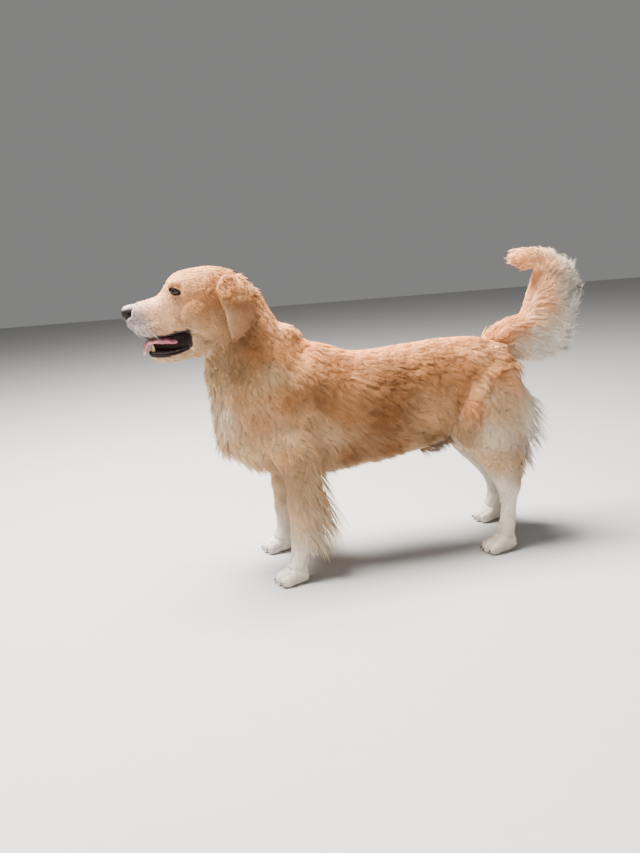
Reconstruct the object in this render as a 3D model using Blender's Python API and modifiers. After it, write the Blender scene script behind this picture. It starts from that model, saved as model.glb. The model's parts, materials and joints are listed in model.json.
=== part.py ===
"""A standing golden retriever as a life-size still model, in metres, +Z up, nose towards -X.

Every limb is a loft through a few ribs. A rib is one cross-section, given by the two points where it
meets the outline in side view and by its half width. The lofts are fused by a voxel remesh, smoothed,
thinned, and the fused body is parted into its named pieces by thin flat cuts. All outlines run to the
tips of the coat.
"""

import math

import bmesh
import bpy
import numpy as np
from mathutils import Matrix, Vector

# ---- driving dimensions -------------------------------------------------------------------------
WITHERS_Z = 0.600  # floor to the top of the shoulders
BACK_Z = 0.560  # floor to the back behind the withers
BELLY_Z = 0.237  # floor to the fringe under the ribs
FORE_X = 0.000  # ball of both fore paws, along the body
FORE_Y = 0.107  # fore paws, out from the middle plane
HIND_X = 0.560  # ball of the left hind paw
HIND_Y = 0.108  # hind paws, out from the middle plane
STRIDE = 0.064  # how much further back the right hind paw stands
LEAN = 0.009  # how far the right foreleg leans forward above the pastern
NOSE_X = -0.321  # tip of the nose
NOSE_Z = 0.684  # floor to the middle of the nose
PAW_Z = 0.052  # level of the cuts above the paws
HOCK_Z = 0.205  # level of the cuts above the hocks
EYE = Vector((-0.1945, 0.0395, 0.7220))  # centre of the right eyeball
EYE_RADIUS = 0.0115
MOUTH_Z = 0.603  # level of the cut between head and jaw, at the corner of the mouth
CUT = 0.0006  # width of the cuts between the pieces
FIT = 0.0004  # gap round a piece that is set into another
BRISKET_Y = 0.036  # half width of the breast between the forelegs
VOXEL = 0.0045  # cell of the remesh that fuses the lofts
FACES = 3800  # triangles of the fused body

RING = 28  # points round a rib
SPAN = 5  # rings between two ribs
LEFT, RIGHT = -1, 1  # sides of the dog, as signs of Y


# ---- scene helpers ------------------------------------------------------------------------------
def clear_scene():
    for obj in list(bpy.data.objects):
        bpy.data.objects.remove(obj)


def collection(name, shown):
    made = bpy.data.collections.new(name)
    made.hide_render = not shown
    bpy.context.scene.collection.children.link(made)
    return made


def add_object(name, mesh, home):
    obj = bpy.data.objects.new(name, mesh)
    home.objects.link(obj)
    return obj


def helper(obj):
    """Marks an object as a cutter or a core, which is no piece of the model."""
    obj.hide_render = True
    obj.display_type = "WIRE"
    return obj


def evaluated_copy(obj):
    """The object's mesh with its modifiers, as a new mesh."""
    bpy.context.view_layer.update()
    graph = bpy.context.evaluated_depsgraph_get()
    return bpy.data.meshes.new_from_object(obj.evaluated_get(graph))


def largest_shell(mesh):
    """Drops all but the largest connected shell, such as a crumb left by a cut."""
    bm = bmesh.new()
    bm.from_mesh(mesh)
    bmesh.ops.remove_doubles(bm, verts=bm.verts, dist=1e-6)
    unseen = set(bm.verts)
    shells = []
    while unseen:
        edge_of = [unseen.pop()]
        shell = list(edge_of)
        while edge_of:
            vert = edge_of.pop()
            for edge in vert.link_edges:
                other = edge.other_vert(vert)
                if other in unseen:
                    unseen.remove(other)
                    edge_of.append(other)
                    shell.append(other)
        shells.append(shell)
    shells.sort(key=len)
    for shell in shells[:-1]:
        bmesh.ops.delete(bm, geom=shell, context="VERTS")
    bmesh.ops.triangulate(bm, faces=bm.faces)
    bm.to_mesh(mesh)
    bm.free()
    return mesh


# ---- lofts --------------------------------------------------------------------------------------
class Rib:
    """One cross-section.

    back and front are its two points (x, z) in side view, width its half width, y its place across the
    body, square its fullness (2 is an ellipse), and swell makes it wider towards back (+) or front (-).
    """

    def __init__(self, back, front, width, y=0.0, square=2.2, swell=0.0):
        self.numbers = np.array([*back, *front, width, y, square, swell], float)


def smooth_between(ribs, span):
    """Rib numbers on a smooth curve through all ribs, with span steps between two neighbours."""
    rows = np.array([rib.numbers for rib in ribs])
    middle = (rows[:, :2] + rows[:, 2:4]) / 2
    apart = np.linalg.norm(np.diff(middle, axis=0), axis=1) + 1e-4
    at = np.concatenate([[0], np.cumsum(apart)])
    slope = np.gradient(rows, at, axis=0)
    out = []
    for i, gap in enumerate(apart):
        for t in np.arange(span) / span:
            start = (1 + 2 * t) * (1 - t) ** 2 * rows[i] + t * (1 - t) ** 2 * gap * slope[i]
            end = t * t * (3 - 2 * t) * rows[i + 1] + t * t * (t - 1) * gap * slope[i + 1]
            out.append(start + end)
    out.append(rows[-1])
    return np.array(out)


def ring_points(numbers, ring):
    """The points round one rib."""
    bx, bz, fx, fz, width, y, square, swell = numbers
    turn = np.arange(ring) * 2 * math.pi / ring
    up, side = np.sin(turn), np.cos(turn)
    power = 2 / square
    up_shape = np.sign(up) * np.abs(up) ** power
    side_shape = np.sign(side) * np.abs(side) ** power * (1 + swell * up_shape)
    centre = np.array([(bx + fx) / 2, y, (bz + fz) / 2])
    arm = np.array([(bx - fx) / 2, 0, (bz - fz) / 2])
    return centre + np.outer(up_shape, arm) + np.outer(side_shape, [0, width, 0])


def dome(points, towards, depth, steps=3):
    """Rings that round off an open end."""
    middle = points.mean(axis=0)
    rings = []
    for i in range(1, steps + 1):
        turn = math.pi / 2 * i / (steps + 0.35)
        rings.append(middle + (points - middle) * math.cos(turn) + towards * depth * math.sin(turn))
    return rings


def loft(name, ribs, home, start_depth=0.004, end_depth=0.004, ring=RING, span=SPAN):
    """A closed skin over the ribs, with both ends domed by the depths given."""
    rings = [ring_points(numbers, ring) for numbers in smooth_between(ribs, span)]
    first_way = rings[0].mean(axis=0) - rings[1].mean(axis=0)
    last_way = rings[-1].mean(axis=0) - rings[-2].mean(axis=0)
    first_way /= np.linalg.norm(first_way)
    last_way /= np.linalg.norm(last_way)
    rings = dome(rings[0], first_way, start_depth)[::-1] + rings
    rings += dome(rings[-1], last_way, end_depth)
    bm = bmesh.new()
    rows = [[bm.verts.new(point) for point in points] for points in rings]
    for here, after in zip(rows, rows[1:]):
        for i in range(ring):
            j = (i + 1) % ring
            bm.faces.new((here[i], here[j], after[j], after[i]))
    bm.faces.new(rows[0][::-1])
    bm.faces.new(rows[-1])
    bmesh.ops.recalc_face_normals(bm, faces=bm.faces)
    mesh = bpy.data.meshes.new(name)
    bm.to_mesh(mesh)
    bm.free()
    return helper(add_object(name, mesh, home))


def ball(name, centre, radii, home, pitch=0.0, yaw=0.0, fine=20):
    """An ellipsoid, pitched about Y and then turned about Z, in degrees."""
    bm = bmesh.new()
    bmesh.ops.create_uvsphere(bm, u_segments=fine, v_segments=fine // 2 + 2, radius=1)
    turn = Matrix.Rotation(math.radians(yaw), 4, "Z") @ Matrix.Rotation(math.radians(pitch), 4, "Y")
    bm.transform(Matrix.Translation(centre) @ turn @ Matrix.Diagonal((*radii, 1)))
    mesh = bpy.data.meshes.new(name)
    bm.to_mesh(mesh)
    bm.free()
    return helper(add_object(name, mesh, home))


# ---- the flesh and coat, limb by limb -----------------------------------------------------------
def trunk_cores(home):
    """Ribcage with its ruff, loin and rump."""
    ribs = [
        Rib((-0.128, 0.500), (-0.130, 0.300), 0.088, square=2.1),
        Rib((-0.080, 0.560), (-0.088, 0.265), 0.112, square=2.1),
        Rib((0.000, 0.595), (0.000, 0.236), 0.122, square=2.1),
        Rib((0.095, WITHERS_Z - 0.004), (0.090, BELLY_Z - 0.012), 0.125, square=2.1, swell=-0.02),
        Rib((0.220, BACK_Z - 0.004), (0.210, BELLY_Z - 0.002), 0.128, square=2.2),
        Rib((0.350, BACK_Z + 0.001), (0.345, BELLY_Z + 0.013), 0.125, square=2.2),
        Rib((0.460, BACK_Z + 0.005), (0.450, BELLY_Z + 0.034), 0.112, square=2.3),
        Rib((0.560, BACK_Z - 0.004), (0.540, 0.330), 0.108, square=2.3),
        Rib((0.615, BACK_Z - 0.022), (0.600, 0.370), 0.098, square=2.2),
        Rib((0.640, 0.512), (0.625, 0.410), 0.078, square=2.2),
    ]
    return [loft("trunk_core", ribs, home, start_depth=0.022, end_depth=0.022)]


def neck_cores(home):
    """Neck from the nape and throat down into the shoulders and the breast."""
    ribs = [
        Rib((-0.044, 0.757), (-0.146, 0.580), 0.068),
        Rib((-0.006, 0.733), (-0.158, 0.548), 0.079),
        Rib((0.025, 0.690), (-0.164, 0.505), 0.090),
        Rib((0.050, 0.650), (-0.157, 0.452), 0.103),
        Rib((0.086, 0.629), (-0.152, 0.392), 0.111),
        Rib((0.128, 0.588), (-0.138, 0.325), 0.114),
    ]
    return [loft("neck_core", ribs, home, end_depth=0.03)]


def head_cores(home):
    """Skull, muzzle with its flews, cheeks and brows, without the lower jaw."""
    skull = [
        Rib((-0.309, 0.692), (-0.307, 0.641), 0.025, square=2.5),
        Rib((-0.290, 0.701), (-0.291, 0.627), 0.032, square=2.6),
        Rib((-0.262, 0.708), (-0.264, 0.616), 0.035, square=2.6, swell=-0.12),
        Rib((-0.236, 0.716), (-0.238, 0.618), 0.038, square=2.6, swell=-0.18),
        Rib((-0.218, 0.737), (-0.212, 0.624), 0.043, square=2.5, swell=-0.24),
        Rib((-0.204, 0.757), (-0.188, 0.624), 0.050, square=2.5, swell=-0.16),
        Rib((-0.180, 0.769), (-0.164, 0.606), 0.059, square=2.4, swell=-0.02),
        Rib((-0.145, 0.774), (-0.140, 0.590), 0.065, square=2.3),
        Rib((-0.104, 0.776), (-0.116, 0.582), 0.067, square=2.3),
        Rib((-0.063, 0.766), (-0.085, 0.590), 0.064, square=2.2),
    ]
    cores = [loft("skull_core", skull, home, start_depth=0.007, end_depth=0.02)]
    for side in (LEFT, RIGHT):
        brow = (-0.188, side * 0.027, 0.739)
        cores.append(ball("brow", brow, (0.026, 0.019, 0.0150), home, yaw=-25 * side))
        cores.append(ball("cheek", (-0.150, side * 0.040, 0.668), (0.044, 0.032, 0.048), home))
        cores.append(ball("flew", (-0.262, side * 0.020, 0.640), (0.040, 0.018, 0.026), home, pitch=8))
        cores.append(ball("lip_corner", (-0.166, side * 0.040, 0.606), (0.016, 0.010, 0.020), home))
    return cores


def jaw_cores(home):
    """Lower jaw, dropped open."""
    ribs = [
        Rib((-0.268, 0.590), (-0.264, 0.569), 0.017, square=2.4),
        Rib((-0.250, 0.591), (-0.247, 0.559), 0.023, square=2.4),
        Rib((-0.224, 0.589), (-0.222, 0.556), 0.028, square=2.4),
        Rib((-0.195, 0.592), (-0.192, 0.560), 0.033, square=2.3),
        Rib((-0.165, 0.604), (-0.160, 0.564), 0.041, square=2.2),
        Rib((-0.125, 0.625), (-0.128, 0.572), 0.048),
    ]
    return [loft("jaw_core", ribs, home, start_depth=0.005, end_depth=0.01)]


def tail_cores(home):
    """Raised tail: its root, and the plume that widens away from the bone and curls forward."""
    ribs = [
        Rib((0.585, 0.560), (0.632, 0.490), 0.040),
        Rib((0.622, 0.588), (0.664, 0.505), 0.034),
        Rib((0.662, 0.603), (0.712, 0.488), 0.033),
        Rib((0.685, 0.618), (0.770, 0.470), 0.036),
        Rib((0.692, 0.642), (0.826, 0.525), 0.040),
        Rib((0.702, 0.665), (0.850, 0.600), 0.041),
        Rib((0.715, 0.688), (0.848, 0.672), 0.040),
        Rib((0.717, 0.702), (0.812, 0.730), 0.037),
        Rib((0.704, 0.709), (0.760, 0.764), 0.031),
        Rib((0.684, 0.712), (0.706, 0.772), 0.026),
        Rib((0.660, 0.722), (0.664, 0.764), 0.019),
    ]
    return [loft("tail_core", ribs, home, end_depth=0.010, ring=24)]


def foreleg_cores(side, home):
    """Upper arm, forearm with its feathering, pastern and paw."""
    lean = LEAN if side == RIGHT else 0.0

    def rib(z, front, back, width, out, square=2.1, swell=0.0):
        x = FORE_X - lean * smooth_step(0.05, 0.16, z)
        return Rib((x + front, z), (x + back, z), width, side * out, square, swell)

    column = [
        rib(0.400, -0.050, 0.120, 0.036, 0.088),
        rib(0.330, -0.015, 0.115, 0.042, 0.090),
        rib(0.270, 0.008, 0.098, 0.041, 0.093),
        rib(0.200, 0.015, 0.078, 0.033, 0.099),
        rib(0.130, 0.017, 0.068, 0.027, 0.103),
        rib(0.078, 0.013, 0.062, 0.026, 0.105),
        rib(0.044, 0.000, 0.055, 0.029, 0.106),
    ]
    feathering = [
        rib(0.285, 0.050, 0.100, 0.026, 0.094),
        rib(0.245, 0.040, 0.122, 0.026, 0.096, swell=0.15),
        rib(0.195, 0.030, 0.138, 0.024, 0.098, swell=0.2),
        rib(0.140, 0.030, 0.134, 0.020, 0.102, swell=0.2),
        rib(0.098, 0.030, 0.118, 0.015, 0.104, swell=0.2),
        rib(0.066, 0.030, 0.092, 0.010, 0.105, swell=0.2),
    ]
    cores = [
        loft("foreleg_core", column, home),
        loft("feathering_core", feathering, home, end_depth=0.008, ring=20),
    ]
    return cores + paw_cores(side, FORE_X + 0.008, side * (FORE_Y + 0.001), 0.068, home)


def hindleg_cores(side, home):
    """Thigh with its breeches, second thigh, hock, rear pastern and paw."""
    stride = STRIDE if side == RIGHT else 0.0

    def rib(front, back, width, out, square=2.1, swell=0.0):
        def shifted(point):
            return (point[0] + stride * smooth_step(0.25, 0.07, point[1]), point[1])

        return Rib(shifted(front), shifted(back), width, side * out, square, swell)

    ribs = [
        rib((0.490, 0.480), (0.638, 0.500), 0.048, 0.058),
        rib((0.448, 0.400), (0.654, 0.444), 0.058, 0.068, swell=0.10),
        rib((0.440, 0.330), (0.690, 0.370), 0.060, 0.073, swell=0.22),
        rib((0.466, 0.285), (0.700, 0.309), 0.054, 0.080, swell=0.28),
        rib((0.502, 0.250), (0.682, 0.245), 0.044, 0.087, swell=0.30),
        rib((0.532, 0.218), (0.664, 0.196), 0.034, 0.093, swell=0.25),
        rib((0.554, 0.180), (0.632, 0.165), 0.027, 0.098),
        rib((0.569, 0.130), (0.621, 0.132), 0.023, 0.102),
        rib((0.568, 0.085), (0.614, 0.085), 0.022, 0.105),
        rib((0.556, 0.048), (0.608, 0.042), 0.025, 0.107),
    ]
    cores = [loft("hindleg_core", ribs, home)]
    return cores + paw_cores(side, HIND_X + 1.14 * stride - 0.004, side * HIND_Y, 0.078, home)


def paw_cores(side, ball_x, y, length, home):
    """One paw: the pad body and four arched toes, all reaching below the floor, where a cut levels them."""
    heel, toe = ball_x + 0.60 * length, ball_x - 0.22 * length
    ribs = [
        Rib((heel, 0.050), (heel + 0.002, -0.006), 0.021, y),
        Rib((ball_x + 0.020, 0.056), (ball_x + 0.022, -0.008), 0.028, y),
        Rib((ball_x, 0.044), (ball_x, -0.008), 0.032, y, square=2.4),
        Rib((toe, 0.030), (toe, -0.008), 0.029, y, square=2.4),
    ]
    cores = [loft("paw_core", ribs, home, end_depth=0.004, ring=20, span=3)]
    for across in (-1.5, -0.5, 0.5, 1.5):
        reach = 0.012 if abs(across) < 1 else 0.002
        centre = (toe + 0.008 - reach, y + across * 0.0155, 0.014)
        cores.append(ball("toe_core", centre, (0.020, 0.0098, 0.0165), home, yaw=-5 * across))
    return cores


def fused_body(home):
    """All the lofts as one closed, smooth, evenly faceted mesh."""
    cores = trunk_cores(home) + neck_cores(home) + head_cores(home) + jaw_cores(home) + tail_cores(home)
    for side in (LEFT, RIGHT):
        cores += foreleg_cores(side, home) + hindleg_cores(side, home)
    bm = bmesh.new()
    for core in cores:
        bm.from_mesh(core.data)
    mesh = bpy.data.meshes.new("whole")
    bm.to_mesh(mesh)
    bm.free()
    whole = helper(add_object("whole", mesh, home))
    remesh = whole.modifiers.new("fuse", "REMESH")
    remesh.mode = "VOXEL"
    remesh.voxel_size = VOXEL
    fused = helper(add_object("fused", evaluated_copy(whole), home))
    fused.modifiers.new("even", "SMOOTH").iterations = 6
    keep = fused.vertex_groups.new(name="detail")
    for vert in fused.data.vertices:
        in_face = smooth_step(-0.02, -0.12, vert.co.x) * smooth_step(0.52, 0.57, vert.co.z)
        in_paw = smooth_step(0.09, 0.04, vert.co.z)
        keep.add([vert.index], 0.9 * max(in_face, 0.8 * in_paw), "REPLACE")
    thin = fused.modifiers.new("thin", "DECIMATE")
    thin.ratio = FACES / sum(len(face.vertices) - 2 for face in fused.data.polygons)
    thin.vertex_group = keep.name
    thin.invert_vertex_group = True
    thin.vertex_group_factor = 2e-5
    thin.use_collapse_triangulate = True
    return helper(add_object("body", largest_shell(evaluated_copy(fused)), home))


def smooth_step(low, high, x):
    t = min(1.0, max(0.0, (x - low) / (high - low)))
    return t * t * (3 - 2 * t)


# ---- pieces set into the head ------------------------------------------------------------------
def closed_copy(name, obj, home, grow=0.0):
    """A copy of a core as a piece, or, grown a little, as the cutter that makes room for it."""
    copy = add_object(name, obj.data.copy(), home)
    if grow:
        swollen = copy.modifiers.new("grow", "DISPLACE")
        swollen.mid_level = 0
        swollen.strength = grow
        copy.data = evaluated_copy(copy)
        copy.modifiers.clear()
    return copy


def ear_core(side, home):
    """Ear flap: it hangs from a broad fold beside the skull and lies on the cheek and neck."""
    ribs = [
        Rib((-0.036, 0.745), (-0.092, 0.751), 0.009, side * 0.050),
        Rib((-0.019, 0.722), (-0.108, 0.728), 0.012, side * 0.062),
        Rib((-0.014, 0.694), (-0.106, 0.702), 0.013, side * 0.073),
        Rib((-0.017, 0.664), (-0.094, 0.668), 0.011, side * 0.080),
        Rib((-0.027, 0.638), (-0.091, 0.640), 0.009, side * 0.085),
        Rib((-0.042, 0.616), (-0.086, 0.613), 0.008, side * 0.087),
    ]
    return loft("ear_core", ribs, home, start_depth=0.005, end_depth=0.017, ring=12, span=2)


def nose_core(home):
    """Nose leather: a rounded wedge, broad above and drawn in below."""
    ribs = [
        Rib((NOSE_X + 0.0210, NOSE_Z + 0.0130), (NOSE_X + 0.0210, NOSE_Z - 0.012), 0.0165, 0, 2.6, 0.10),
        Rib((NOSE_X + 0.0120, NOSE_Z + 0.0125), (NOSE_X + 0.0120, NOSE_Z - 0.016), 0.0185, 0, 2.6, 0.12),
        Rib((NOSE_X + 0.0050, NOSE_Z + 0.0100), (NOSE_X + 0.0050, NOSE_Z - 0.015), 0.0170, 0, 2.5, 0.12),
        Rib((NOSE_X + 0.0015, NOSE_Z + 0.0060), (NOSE_X + 0.0015, NOSE_Z - 0.011), 0.0120, 0, 2.3, 0.10),
    ]
    return loft("nose_core", ribs, home, start_depth=0.003, end_depth=0.0015, ring=16, span=1)


def tongue_core(home):
    """Tongue: flat on the jaw, rolled over the front teeth with its tip hanging."""
    ribs = [
        Rib((-0.172, 0.600), (-0.170, 0.583), 0.017),
        Rib((-0.195, 0.606), (-0.193, 0.586), 0.019),
        Rib((-0.220, 0.610), (-0.219, 0.590), 0.019),
        Rib((-0.243, 0.612), (-0.243, 0.599), 0.018),
        Rib((-0.264, 0.611), (-0.261, 0.602), 0.016),
        Rib((-0.2745, 0.604), (-0.2685, 0.599), 0.015),
        Rib((-0.2795, 0.594), (-0.2735, 0.592), 0.014),
        Rib((-0.2825, 0.585), (-0.2765, 0.583), 0.011),
    ]
    return loft("tongue_core", ribs, home, start_depth=0.004, end_depth=0.004, ring=12, span=1)


def teeth_core(home):
    """Lower gum with its six front teeth and two canines, as one piece."""
    bm = bmesh.new()
    parts = [ball("gum", (-0.258, 0, 0.589), (0.009, 0.0150, 0.0045), home, fine=16)]
    for i in range(6):
        across = (i - 2.5) * 0.0037
        front = -0.2655 + 6.0 * across * across
        parts.append(ball("incisor", (front, across, 0.594), (0.0019, 0.0021, 0.0060), home, fine=8))
    for side in (LEFT, RIGHT):
        centre = (-0.2595, side * 0.0136, 0.5965)
        parts.append(ball("canine", centre, (0.0033, 0.0028, 0.0105), home, pitch=-12, fine=10))
    for part in parts:
        bm.from_mesh(part.data)
    mesh = bpy.data.meshes.new("teeth_core")
    bm.to_mesh(mesh)
    bm.free()
    whole = helper(add_object("teeth_core", mesh, home))
    remesh = whole.modifiers.new("fuse", "REMESH")
    remesh.mode = "VOXEL"
    remesh.voxel_size = 0.0007
    thin = whole.modifiers.new("thin", "DECIMATE")
    thin.ratio = 0.035
    whole.data = largest_shell(evaluated_copy(whole))
    whole.modifiers.clear()
    return whole


# ---- cuts ---------------------------------------------------------------------------------------
FACE = [(-0.5, 0.9), (-0.5, 0.54), (-0.170, 0.54), (0.0425, 0.9)]
NECK = [(-0.5, 0.95), (-0.5, 0.187), (0.4, 0.848), (0.4, 0.95)]
TAIL = [(0.48, 1.0), (0.48, 0.72), (0.9, 0.212), (1.1, 0.212), (1.1, 1.0)]
SHOULDER = [(-0.075, -0.1), (0.175, -0.1), (0.175, 0.250), (0.120, 0.312), (0.0, 0.328), (-0.075, 0.262)]
HIP = [(0.425, -0.1), (0.90, -0.1), (0.90, 0.30), (0.72, 0.440), (0.655, 0.478), (0.585, 0.468)]
HIP += [(0.51, 0.42), (0.455, 0.335), (0.425, 0.27)]
JAW = [(-0.6, 0.4), (0.1, 0.4), (0.1, MOUTH_Z), (-0.6, MOUTH_Z)]
HOCK = [(0.3, -0.1), (1.0, -0.1), (1.0, HOCK_Z), (0.3, HOCK_Z)]
PAW = [(-0.2, -0.1), (1.0, -0.1), (1.0, PAW_Z), (-0.2, PAW_Z)]
FLOOR = [(-1.0, -0.5), (1.5, -0.5), (1.5, 0.0), (-1.0, 0.0)]


def prism(outline, home, grow=0.0, inner=-0.5, outer=0.5):
    """A block with the outline (x, z) in side view, between two places across the body.

    The outline bulges everywhere. grow moves all of its faces outwards.
    """
    points = [np.array(point, float) for point in outline]
    area = sum(a[0] * b[1] - a[1] * b[0] for a, b in zip(points, points[1:] + points[:1]))
    if area < 0:
        points.reverse()
    moved = []
    for before, here, after in zip(points[-1:] + points[:-1], points, points[1:] + points[:1]):
        first = (here - before) / np.linalg.norm(here - before)
        second = (after - here) / np.linalg.norm(after - here)
        out_first = np.array([first[1], -first[0]])
        out_second = np.array([second[1], -second[0]])
        bisector = out_first + out_second
        moved.append(here + bisector * grow / (1 + out_first @ out_second))
    low, high = sorted((inner, outer))
    bm = bmesh.new()
    near = [bm.verts.new((x, low - grow, z)) for x, z in moved]
    far = [bm.verts.new((x, high + grow, z)) for x, z in moved]
    bm.faces.new(near)
    bm.faces.new(far[::-1])
    for i in range(len(moved)):
        j = (i + 1) % len(moved)
        bm.faces.new((near[i], near[j], far[j], far[i]))
    bmesh.ops.recalc_face_normals(bm, faces=bm.faces)
    mesh = bpy.data.meshes.new("prism")
    bm.to_mesh(mesh)
    bm.free()
    return helper(add_object("prism", mesh, home))


def cut_piece(name, source, home, within=(), without=()):
    """A piece of the source: what lies within some blocks and without others."""
    piece = add_object(name, source.data.copy(), home)
    for cutter, operation in [(c, "INTERSECT") for c in within] + [(c, "DIFFERENCE") for c in without]:
        cut = piece.modifiers.new(cutter.name, "BOOLEAN")
        cut.operation = operation
        cut.solver = "EXACT"
        cut.object = cutter
    piece.data = largest_shell(evaluated_copy(piece))
    piece.data.name = name
    piece.modifiers.clear()
    return piece


def part_body(body, insets, home, cores):
    """Parts the fused body into head, jaw, neck, trunk, tail and legs."""
    def inside(outline, inner=-0.5, outer=0.5):
        return prism(outline, cores, -CUT / 2, inner, outer)

    def outside(outline, inner=-0.5, outer=0.5):
        return prism(outline, cores, CUT / 2, inner, outer)

    ears, eyes, nose, teeth = insets
    pieces = {}
    floor = prism(FLOOR, cores)
    face_in, face_out = inside(FACE), outside(FACE)
    neck_in, neck_out = inside(NECK), outside(NECK)
    tail_in, tail_out = inside(TAIL), outside(TAIL)
    jaw_in, jaw_out = inside(JAW), outside(JAW)
    pieces["head"] = cut_piece("head", body, home, [face_in], [jaw_out, *ears, *eyes, nose])
    pieces["jaw"] = cut_piece("jaw", body, home, [face_in, jaw_in], [teeth])
    pieces["neck"] = cut_piece("neck", body, home, [neck_in], [face_out, *ears])
    pieces["tail"] = cut_piece("tail", body, home, [tail_in])
    taken = [neck_out, tail_out]
    for side, word in ((LEFT, "left"), (RIGHT, "right")):
        shoulder = (SHOULDER, side * BRISKET_Y, side * 0.5)
        hip = (HIP, side * CUT / 2, side * 0.5)
        taken += [outside(*shoulder), outside(*hip)]
        paw_in, paw_out = inside(PAW), outside(PAW)
        hock_in, hock_out = inside(HOCK), outside(HOCK)
        fore, hind = inside(*shoulder), inside(*hip)
        pieces["foreleg_" + word] = cut_piece("foreleg_" + word, body, home, [fore], [paw_out])
        pieces["forepaw_" + word] = cut_piece("forepaw_" + word, body, home, [fore, paw_in], [floor])
        pieces["thigh_" + word] = cut_piece("thigh_" + word, body, home, [hind], [hock_out])
        pieces["hock_" + word] = cut_piece("hock_" + word, body, home, [hind, hock_in], [paw_out])
        pieces["hindpaw_" + word] = cut_piece("hindpaw_" + word, body, home, [hind, paw_in], [floor])
    pieces["trunk"] = cut_piece("trunk", body, home, [], taken)
    return pieces


# ---- materials ----------------------------------------------------------------------------------
FINISHES = {
    "golden_coat": ((0.62, 0.36, 0.17), 0.80),
    "ear_coat": ((0.45, 0.24, 0.12), 0.75),
    "cream_coat": ((0.80, 0.62, 0.42), 0.85),
    "white_coat": ((0.84, 0.79, 0.72), 0.85),
    "nose_leather": ((0.035, 0.028, 0.030), 0.35),
    "eye_glass": ((0.040, 0.018, 0.010), 0.08),
    "tongue_flesh": ((0.66, 0.28, 0.30), 0.40),
    "tooth_enamel": ((0.83, 0.74, 0.52), 0.25),
}
WEARS = {
    "golden_coat": ("head", "neck", "trunk", "tail"),
    "ear_coat": ("ear_left", "ear_right"),
    "cream_coat": ("jaw", "foreleg_left", "foreleg_right", "thigh_left", "thigh_right"),
    "white_coat": (
        "hock_left", "hock_right", "forepaw_left", "forepaw_right", "hindpaw_left", "hindpaw_right",
    ),
    "nose_leather": ("nose",),
    "eye_glass": ("eye_left", "eye_right"),
    "tongue_flesh": ("tongue",),
    "tooth_enamel": ("teeth",),
}


def finish(pieces):
    """Gives each piece its material."""
    for name, (colour, roughness) in FINISHES.items():
        material = bpy.data.materials.new(name)
        material.use_nodes = True
        shader = material.node_tree.nodes["Principled BSDF"]
        shader.inputs["Base Color"].default_value = (*colour, 1)
        shader.inputs["Roughness"].default_value = roughness
        material.diffuse_color = (*colour, 1)
        for piece in WEARS[name]:
            mesh = pieces[piece].data
            mesh.materials.clear()
            mesh.materials.append(material)
            mesh.polygons.foreach_set("material_index", [0] * len(mesh.polygons))
            mesh.shade_smooth()
            mesh.set_sharp_from_angle(angle=math.radians(40))


def centre_on_floor(pieces):
    """Moves the model so that the middle of its bounding box stands over the origin."""
    points = np.array([vert.co for piece in pieces.values() for vert in piece.data.vertices])
    middle = (points.min(axis=0) + points.max(axis=0)) / 2
    for piece in pieces.values():
        piece.data.transform(Matrix.Translation((-middle[0], -middle[1], 0)))


def main():
    clear_scene()
    cores = collection("cores", shown=False)
    home = collection("golden_retriever", shown=True)
    body = fused_body(cores)
    pieces, ear_rooms, eye_rooms = {}, [], []
    for side, word in ((LEFT, "left"), (RIGHT, "right")):
        ear = ear_core(side, cores)
        eye = ball("eye_core", (EYE.x, side * EYE.y, EYE.z), (EYE_RADIUS,) * 3, cores, fine=14)
        pieces["ear_" + word] = closed_copy("ear_" + word, ear, home)
        pieces["eye_" + word] = closed_copy("eye_" + word, eye, home)
        ear_rooms.append(helper(closed_copy("ear_room", ear, cores, FIT)))
        eye_rooms.append(helper(closed_copy("eye_room", eye, cores, FIT)))
    nose, tongue, teeth = nose_core(cores), tongue_core(cores), teeth_core(cores)
    nose_room = helper(closed_copy("nose_room", nose, cores, FIT))
    teeth_room = helper(closed_copy("teeth_room", teeth, cores, FIT))
    pieces.update(part_body(body, (ear_rooms, eye_rooms, nose_room, teeth_room), home, cores))
    jaw_room = helper(closed_copy("jaw_room", pieces["jaw"], cores, FIT))
    pieces["nose"] = closed_copy("nose", nose, home)
    pieces["teeth"] = closed_copy("teeth", teeth, home)
    pieces["tongue"] = cut_piece("tongue", tongue, home, [], [jaw_room, teeth_room])
    finish(pieces)
    centre_on_floor(pieces)


main()
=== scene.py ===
"""Looks of a standing golden retriever, life size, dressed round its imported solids.

Metres, +Z up, nose towards -X, the dog's left side towards -Y. One skin is lofted, fused and smoothed in
place of the solids of flesh. A comb chart gives the lie, length, lift and colour of the coat from place
to place, and Geometry Nodes set tufts on the skin by it. Eyes, lids, nose, lips, tongue, teeth, claws,
pads and whiskers are pieces of their own.

Places are given in the working frame, whose x = 0 is at the ball of the left fore paw.
"""

import json
import logging
import math
from dataclasses import dataclass, field
from enum import Enum
from typing import Protocol, Sequence

import bmesh
import bpy
import numpy as np
from mathutils import Matrix, Vector
from mathutils.bvhtree import BVHTree

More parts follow.
